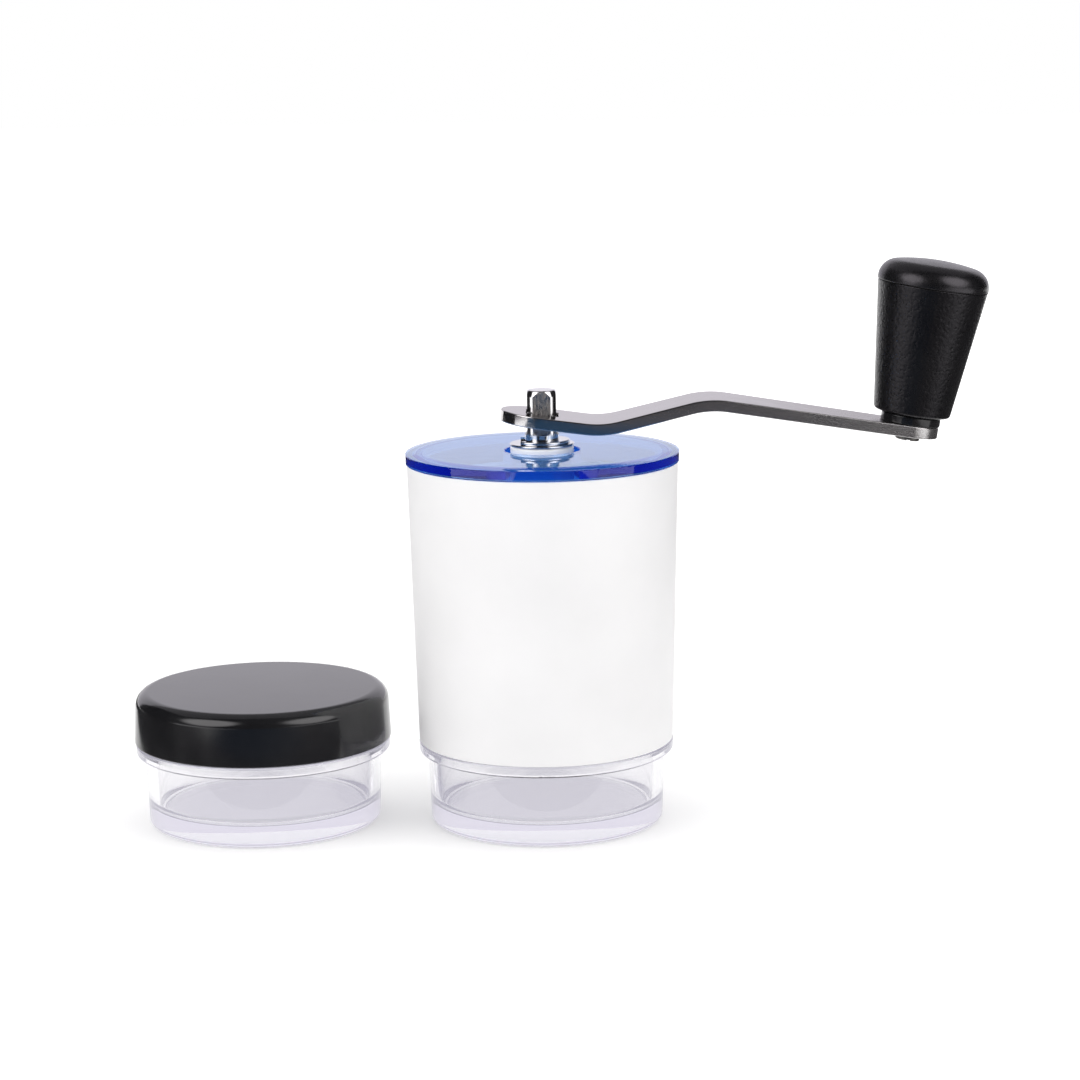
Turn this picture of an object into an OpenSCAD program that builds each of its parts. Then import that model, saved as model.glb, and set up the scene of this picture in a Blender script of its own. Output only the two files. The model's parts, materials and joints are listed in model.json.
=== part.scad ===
// Hand cranked coffee mill with a spare jar. Millimetres, +Z up.
// The origin is the centre of the grounds jar's base, on the table, on the shaft's axis.

/* [Body] */
// Outside diameter of the body where it stands on the jar
body_base_d = 75.5; // [72:0.5:90]
// How much wider the body is at the lid, on each side
body_flare = 2.1; // [0:0.1:5]
// Height of the body from the jar's flange to the lid
body_h = 82.9; // [76:0.1:130]
// Wall of the body
body_wall = 2.4; // [1.8:0.1:3]
// Slope of the funnel that leads the beans to the burrs, in degrees
funnel_slope = 40; // [30:1:50]
// Height of the burr tube's lower end above the jar's flange
tube_rise = 10.7; // [9:0.1:14]
// Wall of the burr tube
tube_wall = 2.4; // [1.8:0.1:3]

/* [Jars] */
// Height of the jar wall from the table to the flange
jar_wall_h = 21.4; // [18:0.1:50]
// Wall of the jar at its mouth
jar_wall = 2; // [1.5:0.1:3]
// Thickness of the jar's floor
jar_floor = 5.8; // [2:0.1:8]
// How much narrower the base is than the wall under the flange, on each side
jar_taper = 0.7; // [0.1:0.1:1]
// How much narrower the inside is at the floor than at the mouth, on each side
jar_draft = 0.8; // [0.2:0.1:1.5]
// Rounding of the jar's lower edge
jar_foot_round = 2; // [0.5:0.1:3]
// Thickness of the flange that the body or the cap comes down to
flange_h = 3.4; // [2.4:0.1:6]
// How far the flange stands out from the wall below it
flange_step = 2.6; // [1.5:0.1:3]
// Rounding of the flange's edges
flange_round = 1.1; // [0.3:0.1:1.2]
// Height of the screw neck above the flange
neck_h = 11.6; // [8:0.1:13]
// Room for the screw thread between the neck and what screws onto it
thread_gap = 1; // [0.6:0.1:1.5]
// Place of the spare jar to the left of the mill
spare_x = -84.75; // [-140:0.25:-82]
// Place of the spare jar behind the mill's axis
spare_y = 3; // [-40:0.5:40]

/* [Storage cap] */
// Thickness of the cap's top
cap_top_h = 2.4; // [1.8:0.1:4]
// How far the cap's lower edge stands out past the flange
cap_lip = 0.35; // [0:0.05:1]
// How much narrower the cap is at its top, on each side
cap_draft = 0.75; // [0:0.05:1]
// Rounding of the cap's shoulder
cap_round = 4; // [1:0.1:4.5]
// Thickness of the sealing disc inside the cap
liner_h = 1.4; // [0.8:0.1:2]
// Gap between the screwed down cap and the flange
cap_gap = 0.3; // [0.2:0.05:1]

/* [Lid] */
// Thickness of the lid
lid_h = 3.2; // [2:0.1:4]
// How far the lid stands out past the body
lid_overhang = 0.4; // [0:0.05:1]
// Diameter of the hole that the bush stands in
lid_hole_d = 22; // [20:0.5:28]
// Rounding of the lid's upper edge
lid_round = 0.5; // [0.3:0.1:1.5]
// Depth of the rib that centres the lid in the body
lid_rib_h = 2; // [1:0.1:3]
// Width of that rib
lid_rib_w = 1.8; // [1:0.1:3]

/* [Bearings] */
// Height of the upper bridge's ring and arms
bridge_h = 5; // [3:0.1:8]
// Width of the upper bridge's arms
bridge_arm_w = 6; // [4:0.5:10]
// Width of the upper bridge's ring
bridge_ring_w = 2.6; // [1.5:0.1:4]
// Diameter of the upper bridge's boss
boss_d = 23; // [20:0.5:26]
// Length of that boss
boss_h = 10.5; // [8:0.5:16]
// Diameter of the upper bush's stem in the boss
bush_stem_d = 14; // [12.5:0.1:17]
// Diameter of the upper bush's head, which stands up through the lid
bush_head_d = 18.7; // [17.5:0.1:19.5]
// Height of that head above the lid
bush_rise = 1.5; // [0.8:0.1:4]
// Height of the lower bridge's ring
low_bridge_h = 4; // [3:0.1:6]
// Width of the lower bridge's arms
low_arm_w = 4; // [2.5:0.1:6]
// Diameter of the lower bridge's hub
low_hub_d = 14; // [13:0.1:16]
// Height of the lower bridge's hub
low_hub_h = 6; // [4:0.1:10]
// Diameter of the lower bush
low_bush_d = 10.8; // [10:0.1:12]

/* [Shaft] */
// Diameter of the shaft in the upper bush and at the corners of its square
shaft_d = 10; // [9.4:0.1:10.8]
// Size of the square across its flats
square_af = 8.5; // [7.4:0.1:9]
// Length of the square up to the shaft's end
square_len = 13.3; // [11:0.1:24]
// Round stretch between the clip and the square
square_lift = 1.3; // [0.6:0.1:4]
// Height of the cone that was turned on the shaft's end
end_cone_h = 1.8; // [0.4:0.1:3]
// Radius that the cutter left where the flats run out
square_runout = 1.6; // [1:0.1:3]
// Diameter of the shaft in the hopper and in the lower bush
spindle_d = 8; // [7.4:0.1:8.8]
// Diameter of the keyed stretch that drives the inner burr
key_d = 7; // [6.6:0.1:7.2]
// Size of the keyed stretch across its two flats
key_af = 5.6; // [5.2:0.1:6]
// Diameter of the threaded end that the adjusting nut runs on
stud_d = 5; // [4:0.1:5.2]
// Thickness of the thrust washer
washer_h = 0.7; // [0.4:0.1:1.5]
// Diameter of the thrust washer
washer_d = 19; // [16:0.1:20]
// Thickness of the retaining clip
clip_h = 1; // [0.6:0.1:1.6]
// Diameter of the retaining clip
clip_d = 16.4; // [14:0.1:18]
// Diameter of the groove that the clip sits in
groove_d = 8; // [7:0.1:8.6]
// Width of the clip's open side
clip_mouth = 6.6; // [5:0.1:7]

/* [Burrs] */
// Largest diameter of the inner burr
inner_burr_d = 34; // [30:0.2:36]
// Diameter of the inner burr at its top
inner_top_d = 18; // [17:0.1:20]
// Height of the inner burr's toothed cone
cone_h = 12.5; // [11:0.1:16]
// Height of the fine teeth at the foot of that cone
fine_h = 4.5; // [3:0.1:6]
// Height of the inner burr below its widest point
burr_skirt_h = 3.5; // [2:0.1:5]
// Gap between the burrs at their narrowest point as drawn
burr_gap = 0.6; // [0.5:0.05:1.2]
// Wall of the outer burr at its lower edge
ring_wall = 2.4; // [2:0.1:4]
// Diameter of the outer burr's opening at its top
feed_d = 28.8; // [26:0.2:32]
// Depth of the fine teeth
fine_depth = 1; // [0.5:0.1:1.2]
// Depth of the coarse spiral teeth that break the beans
coarse_depth = 2.6; // [1.5:0.1:2.8]
// Number of fine teeth on the inner burr
fine_teeth = 24; // [16:1:32]
// Number of coarse spiral teeth on the inner burr
coarse_teeth = 6; // [4:1:8]
// Number of teeth in the outer burr
ring_teeth = 18; // [12:1:24]
// Twist of the fine teeth over their height, in degrees
fine_twist = 14; // [0:1:25]
// Twist of the coarse teeth over their height, in degrees
coarse_twist = 42; // [0:1:60]
// Twist of the outer burr's teeth over their height, in degrees
ring_twist = 18; // [0:1:30]
// How far the nut can lift the inner burr to grind finer
finer_travel = 1; // [0.5:0.1:1.5]
// How far the nut can lower the inner burr to grind coarser
coarser_travel = 1.5; // [0.5:0.1:2]

/* [Burr fittings] */
// Thickness of the ring that holds the outer burr
retainer_h = 3; // [2:0.1:4]
// Width of that ring outside the burr tube's bore
retainer_rim = 8.4; // [7.5:0.1:9]
// Number of screws through that ring
screw_count = 3; // [3:1:6]
// Diameter of those screws
screw_d = 3; // [2:0.1:3.4]
// Length of those screws under the head
screw_len = 9; // [6:0.5:10]
// Wire of the burr spring
spring_wire = 1.2; // [0.8:0.1:1.3]
// Turns of the burr spring
spring_turns = 4; // [3:0.5:4]
// Depth of the spring's pocket in the inner burr
pocket_h = 8; // [6:0.1:9]
// Diameter of the spring's pocket
pocket_d = 12.4; // [12:0.1:13.4]
// Thickness of the washer that the spring pushes on
seat_h = 0.8; // [0.5:0.1:1.5]
// Diameter of the click plate
plate_d = 20; // [18:0.5:24]
// Thickness of the click plate
plate_h = 2.4; // [1.8:0.1:4]
// Number of click notches
click_count = 12; // [8:1:16]
// Depth of the click notches
click_depth = 0.6; // [0.3:0.1:0.8]
// Diameter of the adjusting nut
nut_d = 24; // [20:0.5:30]
// Height of the adjusting nut
nut_h = 6; // [4:0.1:8]
// Number of finger scallops round the nut
scallop_count = 10; // [6:1:12]
// Radius of the scallops
scallop_r = 2.6; // [1.5:0.1:3]
// Diameter of the threaded insert in the nut
insert_d = 11; // [9:0.1:13]
// Length of the thread left showing under the nut at its lowest
stud_tail = 3; // [1:0.1:6]

/* [Crank] */
// Thickness of the arm
arm_h = 3.4; // [2:0.1:4]
// Diameter of the arm's round hub end
arm_hub_d = 24.4; // [18:0.2:30]
// Diameter of the arm's round knob end
arm_tip_d = 17; // [14:0.2:22]
// Distance from the shaft to the first bend
hub_reach = 18; // [17:0.2:26]
// Length of the rising stretch between the bends
ramp_len = 31.7; // [24:0.1:50]
// Angle of the rising stretch, in degrees
ramp_angle = 21.2; // [10:0.2:30]
// Distance from the second bend to the knob's axle
tip_reach = 59.6; // [40:0.1:90]
// How far the knob end leans down from the hub's plane, in degrees
tip_drop = 1.2; // [0:0.1:5]
// Radius of the bends at the middle of the arm
bend_r = 28; // [12:0.5:30]
// Lean of the whole arm on the square, in degrees
crank_tilt = 7.8; // [0:0.1:9]
// Height of the arm's middle above the foot of the square
crank_rise = 4.7; // [4.4:0.1:8]
// Room round the square in the arm's hole
square_gap = 0.15; // [0.1:0.05:0.4]

/* [Knob] */
// Diameter of the grip at its lower end
grip_base_d = 22.3; // [20:0.1:30]
// Diameter of the grip where the cap closes it
grip_top_d = 32; // [28:0.1:40]
// Length of the grip
grip_len = 37.6; // [32:0.1:60]
// Wall of the grip
grip_wall = 2.6; // [2:0.1:3]
// Rounding of the grip's lower edge
grip_round = 1.2; // [0.3:0.1:1.8]
// Height of the knob's cap
knob_cap_h = 7.6; // [6.8:0.1:10]
// Rounding of the cap's shoulder
knob_cap_round = 5.6; // [2:0.1:6.5]
// Radius of the cap's crowned top
knob_crown_r = 60; // [40:1:200]
// How far the cap stands out past the grip
knob_cap_lip = 0.2; // [0:0.05:0.5]
// Diameter of the collar between arm and grip
collar_d = 17.4; // [14:0.1:20]
// Height of the collar
collar_h = 2.7; // [1.5:0.1:6]
// Diameter of the pin that the grip turns on
axle_d = 6; // [5:0.1:7]
// Length of the bearing sleeve inside the grip
sleeve_len = 26; // [16:0.5:28]
// Diameter of the screw head under the arm
axle_screw_d = 7.1; // [6:0.1:9]
// Height of that head
axle_screw_h = 1.6; // [1:0.1:2.5]

/* [Hidden] */
$fn = 64;

// Clearances
run_gap = 0.05;      // radial gap of a shaft in its bush
fit_gap = 0.05;      // gap between pieces that are pressed or screwed together
face_gap = 0.1;      // gap between faces that turn on each other
free_gap = 0.4;      // gap between pieces that pass each other freely
end_gap = 0.5;       // gap left at the end of a travel
cut = 1;             // how far a cutting shape reaches past the face that it cuts
step_h = 0.7;        // how far the bush's boss stays under the body's rim
spring_gap = 0.2;    // gap round the spring and its seat in the pocket
boss_wall = 1.7;     // plastic round a screw in its boss
boss_end = 1.5;      // plastic past a screw's end

// Jar and body
flange_lip = 0.15;
seat_z = jar_wall_h + flange_h;
body_base_r = body_base_d / 2;
body_top_z = seat_z + body_h;
flange_r = body_base_r + flange_lip;
jar_wall_r = flange_r - flange_step;
jar_base_r = jar_wall_r - jar_taper;
neck_r = body_base_r - body_wall - thread_gap;
neck_top_z = seat_z + neck_h;
mouth_r = neck_r - jar_wall;
floor_r = mouth_r - jar_draft;
floor_round = 3;

// Burr tube, from its lower end upwards
tube_z = seat_z + tube_rise;
burr_mouth_r = inner_burr_d / 2 + burr_gap;
ring_r = burr_mouth_r + ring_wall;
ring_h = cone_h + finer_travel + end_gap;
tube_bore_r = ring_r + fit_gap;
tube_mid_r = tube_bore_r + tube_wall / 2;
low_bridge_z = tube_z + ring_h;
tube_top_z = low_bridge_z + low_bridge_h;
throat_lip = 1.6;
throat_r = ring_r - throat_lip;
throat_z = tube_top_z + throat_lip;
funnel_top_r = body_in_r(throat_z) + body_wall / 2;
funnel_top_z = throat_z + (funnel_top_r - throat_r) * tan(funnel_slope);
funnel_h = body_wall / cos(funnel_slope);
tube_flange_h = 3;
retainer_r = tube_bore_r + retainer_rim;
retainer_lip = 1.3;
screw_boss_r = screw_d / 2 + boss_wall;
screw_circle_r = tube_bore_r + retainer_rim - screw_boss_r - face_gap;
screw_boss_h = screw_len - retainer_h + boss_end;
screw_head_r = screw_d / 2 + 1.2;
screw_head_h = 1.6;

// Lid, upper bridge and upper bush, from the body's rim
rim_r = body_in_r(body_top_z);
lid_r = body_base_r + body_flare + lid_overhang;
lid_top_z = body_top_z + lid_h;
bridge_top_z = body_top_z - lid_rib_h - free_gap;
bridge_z = bridge_top_z - bridge_h;
bridge_r = body_in_r(bridge_z) - fit_gap;
ledge_w = 1.2;
ledge_h = 2.5;
boss_top_z = body_top_z - step_h;
boss_z = boss_top_z - boss_h;
bush_top_z = lid_top_z + bush_rise;

// Shaft, from its top downwards
washer_z = bush_top_z + face_gap;
clip_z = washer_z + washer_h;
square_z = clip_z + clip_h + square_lift;
shaft_top_z = square_z + square_len;
journal_z = boss_z - 1.5;
spring_seat_z = low_bridge_z + free_gap;
shoulder_z = spring_seat_z + seat_h;
low_hub_z = shoulder_z + end_gap;
burr_z = tube_z - burr_skirt_h;
burr_top_z = tube_z + cone_h;
pocket_z = burr_top_z - pocket_h;
plate_z = burr_z - plate_h;
nut_z = plate_z - face_gap - nut_h;
key_z = plate_z + face_gap;
shaft_z = nut_z - coarser_travel - stud_tail;
spring_r = key_d / 2 + end_gap + spring_wire / 2;
seat_r = pocket_d / 2 - spring_gap;

// Storage cap
cap_z = seat_z + cap_gap;
cap_in_z = neck_top_z + liner_h;
cap_top_z = cap_in_z + cap_top_h;
cap_base_r = flange_r + cap_lip;
cap_top_r = cap_base_r - cap_draft;
cap_bore_r = neck_r + thread_gap;

// Crank: points of the arm's side view, measured from the hub along the hub's plane
arm_v1 = [hub_reach, 0];
arm_v2 = arm_v1 + ramp_len * along(ramp_angle);
arm_tip = arm_v2 + tip_reach * along(-tip_drop);
bend_steps = 10;
end_steps = 32;
hub_z = square_z + crank_rise;
hole_x = (square_af + arm_h * sin(crank_tilt)) / cos(crank_tilt) + 2 * square_gap;
hole_y = square_af + 2 * square_gap;

// Knob, measured along its axle from the arm's middle
collar_z = arm_h / 2;
grip_z = collar_z + collar_h + 2 * face_gap;
axle_head_z = grip_z + sleeve_len + 2 * face_gap;
axle_head_h = 2.5;
axle_head_r = axle_d / 2 + 2.2;
sleeve_r = axle_d / 2 + 3;
knob_cap_z = grip_z + grip_len;
tap_r = axle_d / 3;
tap_h = 8;
plug_h = 4;

// Inside radius of the body at a height
function body_in_r(z) = body_base_r + body_flare * (z - seat_z) / body_h - body_wall;
// Unit vector at an angle, and the one to its left
function along(a) = [cos(a), sin(a)];
function left_of(a) = [-sin(a), cos(a)];
// Points of a bend at a corner, on a line that runs d to the left of the path
function bend(corner, a_in, a_out, d) =
    let (turn = a_out - a_in, side = sign(turn), back = bend_r * tan(abs(turn) / 2))
    let (centre = corner - back * along(a_in) + side * bend_r * left_of(a_in))
    [for (i = [0:bend_steps]) centre + (d - side * bend_r) * left_of(a_in + turn * i / bend_steps)];
// One edge of the arm's side view, d to the left of its middle line
function arm_edge(d) = concat(
    [[-arm_hub_d, d]],
    bend(arm_v1, 0, ramp_angle, d),
    bend(arm_v2, ramp_angle, -tip_drop, d),
    [arm_tip + arm_tip_d * along(-tip_drop) + d * left_of(-tip_drop)]);
function backwards(list) = [for (i = [len(list) - 1:-1:0]) list[i]];
// Outline of a toothed wheel: each tooth has a flat tip and leans to one side
function teeth(count, tip_r, root_r) = [for (i = [0:count - 1], p = [[0, 1], [0.3, 1], [0.75, 0]])
    (p[1] * tip_r + (1 - p[1]) * root_r) * along((i + p[0]) * 360 / count)];

// What an outer edge loses to a rounding of radius r: upper edge, then lower edge
module upper_edge_cut(r) {
    translate([-r, -r]) difference() {
        square(r + cut);
        circle(r);
    }
}

module lower_edge_cut(r) {
    mirror([0, 1]) upper_edge_cut(r);
}

// A flat ring with a bore
module ring(outer_r, bore_r, h) {
    difference() {
        cylinder(r = outer_r, h = h);
        translate([0, 0, -cut]) cylinder(r = bore_r, h = h + 2 * cut);
    }
}

// A round bar with two flats, centred on the axis
module keyed_bar(d, af, h) {
    intersection() {
        cylinder(d = d, h = h);
        translate([-d, -af / 2, 0]) cube([2 * d, af, h]);
    }
}

// Copies round the axis
module around(count, first_angle = 0) {
    for (i = [0:count - 1]) rotate(first_angle + i * 360 / count) children();
}

// Jar with a thick floor, a rounded flange and a plain neck
module jar_profile() {
    difference() {
        union() {
            difference() {
                polygon([[0, 0], [jar_base_r, 0], [jar_wall_r, jar_wall_h + cut], [0, jar_wall_h + cut]]);
                translate([jar_base_r, 0]) lower_edge_cut(jar_foot_round);
            }
            difference() {
                translate([0, jar_wall_h]) square([flange_r, flange_h]);
                translate([flange_r, jar_wall_h]) lower_edge_cut(flange_round);
                translate([flange_r, seat_z]) upper_edge_cut(flange_round / 2);
            }
            translate([0, jar_wall_h]) square([neck_r, flange_h + neck_h]);
        }
        difference() {
            polygon([[0, jar_floor], [floor_r, jar_floor], [mouth_r, neck_top_z], [mouth_r, neck_top_z + cut],
                [0, neck_top_z + cut]]);
            translate([floor_r, jar_floor]) lower_edge_cut(floor_round);
        }
    }
}

module jar() {
    color([0.86, 0.86, 0.9, 0.4]) rotate_extrude() jar_profile();
}

module grounds_jar() {
    jar();
}

module spare_jar() {
    translate([spare_x, spare_y, 0]) jar();
}

// White body: tapered wall, funnel, burr tube with its flange, and the ledge for the upper bridge
module hopper_profile() {
    wall_mid = body_wall / 2;
    polygon([[body_in_r(seat_z), seat_z], [body_base_r, seat_z], [body_base_r + body_flare, body_top_z],
        [rim_r, body_top_z]]);
    polygon([[throat_r, throat_z], [funnel_top_r, funnel_top_z], [funnel_top_r, funnel_top_z - funnel_h],
        [tube_mid_r, throat_z + (tube_mid_r - throat_r) * tan(funnel_slope) - funnel_h],
        [tube_mid_r, tube_top_z], [throat_r, tube_top_z]]);
    translate([tube_bore_r, tube_z]) square([tube_wall, tube_top_z - tube_z + wall_mid]);
    translate([tube_bore_r, tube_z]) square([retainer_rim, tube_flange_h]);
    polygon([[body_in_r(bridge_z) + wall_mid, bridge_z], [body_in_r(bridge_z) - ledge_w, bridge_z],
        [body_in_r(bridge_z) + wall_mid, bridge_z - ledge_h - ledge_w]]);
}

module hopper_body() {
    color("white") difference() {
        union() {
            rotate_extrude() hopper_profile();
            around(screw_count, 90) translate([screw_circle_r, 0, tube_z])
                cylinder(r = screw_boss_r, h = screw_boss_h);
        }
        around(screw_count, 90) translate([screw_circle_r, 0, tube_z - cut])
            cylinder(r = screw_d / 2 + fit_gap, h = screw_boss_h - boss_end / 2 + cut);
    }
}

// Three-armed bridge under the lid
module top_bridge() {
    color("whitesmoke") difference() {
        union() {
            translate([0, 0, bridge_z]) ring(bridge_r, bridge_r - bridge_ring_w, bridge_h);
            around(3, 90) translate([0, -bridge_arm_w / 2, bridge_z])
                cube([bridge_r - bridge_ring_w / 2, bridge_arm_w, bridge_h]);
            translate([0, 0, boss_z]) cylinder(d = boss_d, h = boss_h);
        }
        translate([0, 0, boss_z - cut]) cylinder(d = bush_stem_d + 2 * fit_gap, h = boss_h + 2 * cut);
    }
}

// Upper bush: a stem in the bridge's boss and a tall head that stands up through the lid
module upper_bush() {
    color("white") difference() {
        union() {
            translate([0, 0, boss_z]) cylinder(d = bush_stem_d, h = bush_top_z - boss_z);
            translate([0, 0, boss_top_z]) cylinder(d = bush_head_d, h = bush_top_z - boss_top_z);
        }
        translate([0, 0, boss_z - cut]) cylinder(d = shaft_d + 2 * run_gap, h = bush_top_z - boss_z + 2 * cut);
    }
}

// Lower bridge: a ring over the outer burr, with three arms and a hub
module lower_bridge() {
    ring_bore_r = throat_r - 0.1;
    color("whitesmoke") difference() {
        union() {
            translate([0, 0, low_bridge_z]) ring(ring_r, ring_bore_r, low_bridge_h);
            around(3, 30) translate([0, -low_arm_w / 2, low_hub_z])
                cube([(ring_r + ring_bore_r) / 2, low_arm_w, tube_top_z - low_hub_z]);
            translate([0, 0, low_hub_z]) cylinder(d = low_hub_d, h = low_hub_h);
        }
        translate([0, 0, low_hub_z - cut]) cylinder(d = low_bush_d + 2 * fit_gap, h = low_hub_h + 2 * cut);
    }
}

// Lower bush with a flange on the hub
module lower_bush() {
    flange_h = 1;
    flange_d = (low_bush_d + low_hub_d) / 2;
    color("ivory") difference() {
        union() {
            translate([0, 0, low_hub_z]) cylinder(d = low_bush_d, h = low_hub_h + flange_h);
            translate([0, 0, low_hub_z + low_hub_h]) cylinder(d = flange_d, h = flange_h);
        }
        translate([0, 0, low_hub_z - cut])
            cylinder(d = spindle_d + 2 * run_gap, h = low_hub_h + flange_h + 2 * cut);
    }
}

// Ring burr: slanted teeth round an opening that narrows upwards
module outer_burr() {
    color("gainsboro") translate([0, 0, tube_z]) difference() {
        cylinder(r = ring_r, h = ring_h);
        translate([0, 0, -cut / 100]) linear_extrude(height = ring_h + cut / 50, twist = -ring_twist,
            scale = feed_d / 2 / burr_mouth_r, slices = 6)
            polygon(teeth(ring_teeth, burr_mouth_r + fine_depth, burr_mouth_r));
    }
}

// Ring that is screwed under the burr tube and holds the outer burr by its lower edge
module burr_retainer() {
    color("dimgray") translate([0, 0, tube_z - retainer_h]) difference() {
        ring(retainer_r, ring_r - retainer_lip, retainer_h);
        around(screw_count, 90) translate([screw_circle_r, 0, -cut])
            cylinder(r = screw_d / 2 + fit_gap, h = retainer_h + 2 * cut);
    }
}

// Cheese head screws with a slot, seen from below
module retainer_screws() {
    slot_w = screw_d / 4;
    color("silver") around(screw_count, 90) translate([screw_circle_r, 0, tube_z - retainer_h])
        difference() {
            union() {
                cylinder(d = screw_d, h = screw_len);
                translate([0, 0, -screw_head_h]) cylinder(r = screw_head_r, h = screw_head_h);
            }
            translate([-screw_head_r - cut, -slot_w / 2, -screw_head_h - cut])
                cube([2 * (screw_head_r + cut), slot_w, screw_head_h / 2 + cut]);
        }
}

// Flat cut from one side of the shaft, with a round run-out at its foot
module flat_cut() {
    translate([square_af / 2, 0, 0]) rotate([90, 0, 0]) linear_extrude(height = 2 * shaft_d, center = true) {
        translate([square_runout, square_runout]) circle(square_runout);
        translate([0, square_runout]) square([shaft_d, square_len + cut]);
        translate([square_runout, 0]) square([shaft_d, square_len + cut]);
    }
}

// Drive shaft: square top, clip groove, journal, spindle, keyed stretch and threaded end
module drive_shaft() {
    end_d = square_af - 2 * face_gap;
    color("silver") difference() {
        union() {
            translate([0, 0, journal_z]) cylinder(d = shaft_d, h = shaft_top_z - journal_z - end_cone_h);
            translate([0, 0, shaft_top_z - end_cone_h]) cylinder(d1 = shaft_d, d2 = end_d, h = end_cone_h);
            translate([0, 0, shoulder_z]) cylinder(d = spindle_d, h = journal_z - shoulder_z + cut);
            translate([0, 0, key_z]) keyed_bar(key_d, key_af, shoulder_z - key_z + cut);
            translate([0, 0, shaft_z]) cylinder(d = stud_d, h = key_z - shaft_z + cut);
        }
        around(4) translate([0, 0, square_z]) flat_cut();
        translate([0, 0, clip_z]) ring(shaft_d, groove_d / 2, clip_h);
    }
}

module thrust_washer() {
    color("silver") translate([0, 0, washer_z]) ring(washer_d / 2, shaft_d / 2 + 2 * run_gap, washer_h);
}

// Open retaining clip: three inner lugs on the groove and a mouth towards -X
module shaft_clip() {
    relief_r = groove_d / 4;
    relief_x = groove_d / 2;
    mouth_flat = clip_d / 2 - 1.8;
    color("silver") translate([0, 0, clip_z]) linear_extrude(height = clip_h) difference() {
        circle(d = clip_d);
        circle(d = groove_d + 2 * fit_gap);
        translate([-clip_d, -clip_mouth / 2]) square([clip_d, clip_mouth]);
        translate([-mouth_flat - clip_d, -clip_d]) square([clip_d, 2 * clip_d]);
        for (a = [-55, 55]) rotate(a) translate([relief_x, 0]) circle(relief_r);
    }
}

module spring_seat() {
    color("silver") translate([0, 0, spring_seat_z]) ring(seat_r, key_d / 2 + 2 * run_gap, seat_h);
}

// Coil spring as one unbroken tube along a helix
spring_sides = 6;
spring_rings = 8 * spring_turns;
spring_z = pocket_z + spring_wire / 2 + fit_gap;
spring_len = spring_seat_z - pocket_z - spring_wire - 2 * fit_gap;
spring_pitch = spring_len / spring_turns;
echo(spring_self_gap = spring_pitch * cos(atan(spring_pitch / (2 * PI * spring_r))) - spring_wire);

function spring_ring(i) =
    let (turn = i * 360 / 8, mid = spring_r * along(turn))
    [for (s = [0:spring_sides - 1])
        let (a = s * 360 / spring_sides, out = spring_wire / 2 * along(a))
        [mid[0] + out[0] * cos(turn), mid[1] + out[0] * sin(turn),
            spring_z + spring_len * i / spring_rings + out[1]]];

module burr_spring() {
    points = [for (i = [0:spring_rings]) each spring_ring(i)];
    sides = [for (i = [0:spring_rings - 1], s = [0:spring_sides - 1])
        let (a = i * spring_sides + s, b = i * spring_sides + (s + 1) % spring_sides)
        each [[a, b + spring_sides, b], [a, a + spring_sides, b + spring_sides]]];
    start = [for (s = [1:spring_sides - 2]) [0, s, s + 1]];
    last = spring_rings * spring_sides;
    end = [for (s = [1:spring_sides - 2]) [last, last + s + 1, last + s]];
    color("silver") polyhedron(points, concat(sides, start, end));
}

// Cone burr: fine teeth at the foot, coarse spiral teeth above, a keyed bore and the spring's pocket
module inner_burr() {
    burr_r = inner_burr_d / 2;
    waist_r = burr_r + (inner_top_d / 2 - burr_r) * fine_h / cone_h;
    foot_r = burr_r - 1;
    coarse_h = cone_h - fine_h;
    color("gainsboro") difference() {
        union() {
            translate([0, 0, burr_z]) cylinder(r1 = foot_r, r2 = burr_r - fine_depth, h = burr_skirt_h);
            translate([0, 0, tube_z]) linear_extrude(height = fine_h, twist = fine_twist,
                scale = waist_r / burr_r, slices = 3)
                polygon(teeth(fine_teeth, burr_r, burr_r - fine_depth));
            translate([0, 0, tube_z + fine_h]) linear_extrude(height = coarse_h, twist = coarse_twist,
                scale = inner_top_d / 2 / waist_r, slices = 8)
                polygon(teeth(coarse_teeth, waist_r - fine_depth, waist_r - coarse_depth));
        }
        translate([0, 0, burr_z - cut])
            keyed_bar(key_d + 4 * run_gap, key_af + 4 * run_gap, burr_skirt_h + cone_h + cut);
        translate([0, 0, pocket_z]) cylinder(d = pocket_d, h = pocket_h + cut);
    }
}

// Keyed plate with click notches on its underside
module click_plate() {
    notch_r = 0.9;
    color("silver") translate([0, 0, plate_z]) difference() {
        cylinder(d = plate_d, h = plate_h);
        translate([0, 0, -cut]) keyed_bar(key_d + 4 * run_gap, key_af + 4 * run_gap, plate_h + 2 * cut);
        around(click_count) translate([plate_d / 2 - 2, 0, -notch_r + click_depth])
            rotate([0, 90, 0]) cylinder(r = notch_r, h = 2 + cut);
    }
}

// Scalloped wheel that the fingers turn
module adjusting_nut() {
    scallop_x = nut_d / 2 + scallop_r / 2;
    color("dimgray") translate([0, 0, nut_z]) difference() {
        ring(nut_d / 2, insert_d / 2 + fit_gap, nut_h);
        around(scallop_count) translate([scallop_x, 0, -cut]) cylinder(r = scallop_r, h = nut_h + 2 * cut);
    }
}

// Threaded insert, relieved at its top so that the keyed stretch can enter it at the finest setting
module nut_insert() {
    relief_h = finer_travel + end_gap;
    color("goldenrod") translate([0, 0, nut_z]) difference() {
        ring(insert_d / 2, stud_d / 2 + run_gap, nut_h);
        translate([0, 0, nut_h - relief_h]) cylinder(r = key_d / 2 + free_gap, h = relief_h + cut);
    }
}

// Frames of the crank's hub and of the knob's axle
module at_crank() {
    translate([0, 0, hub_z]) rotate([0, crank_tilt, 0]) children();
}

module at_knob() {
    at_crank() translate([arm_tip[0], 0, arm_tip[1]]) rotate([0, tip_drop, 0]) children();
}

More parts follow.
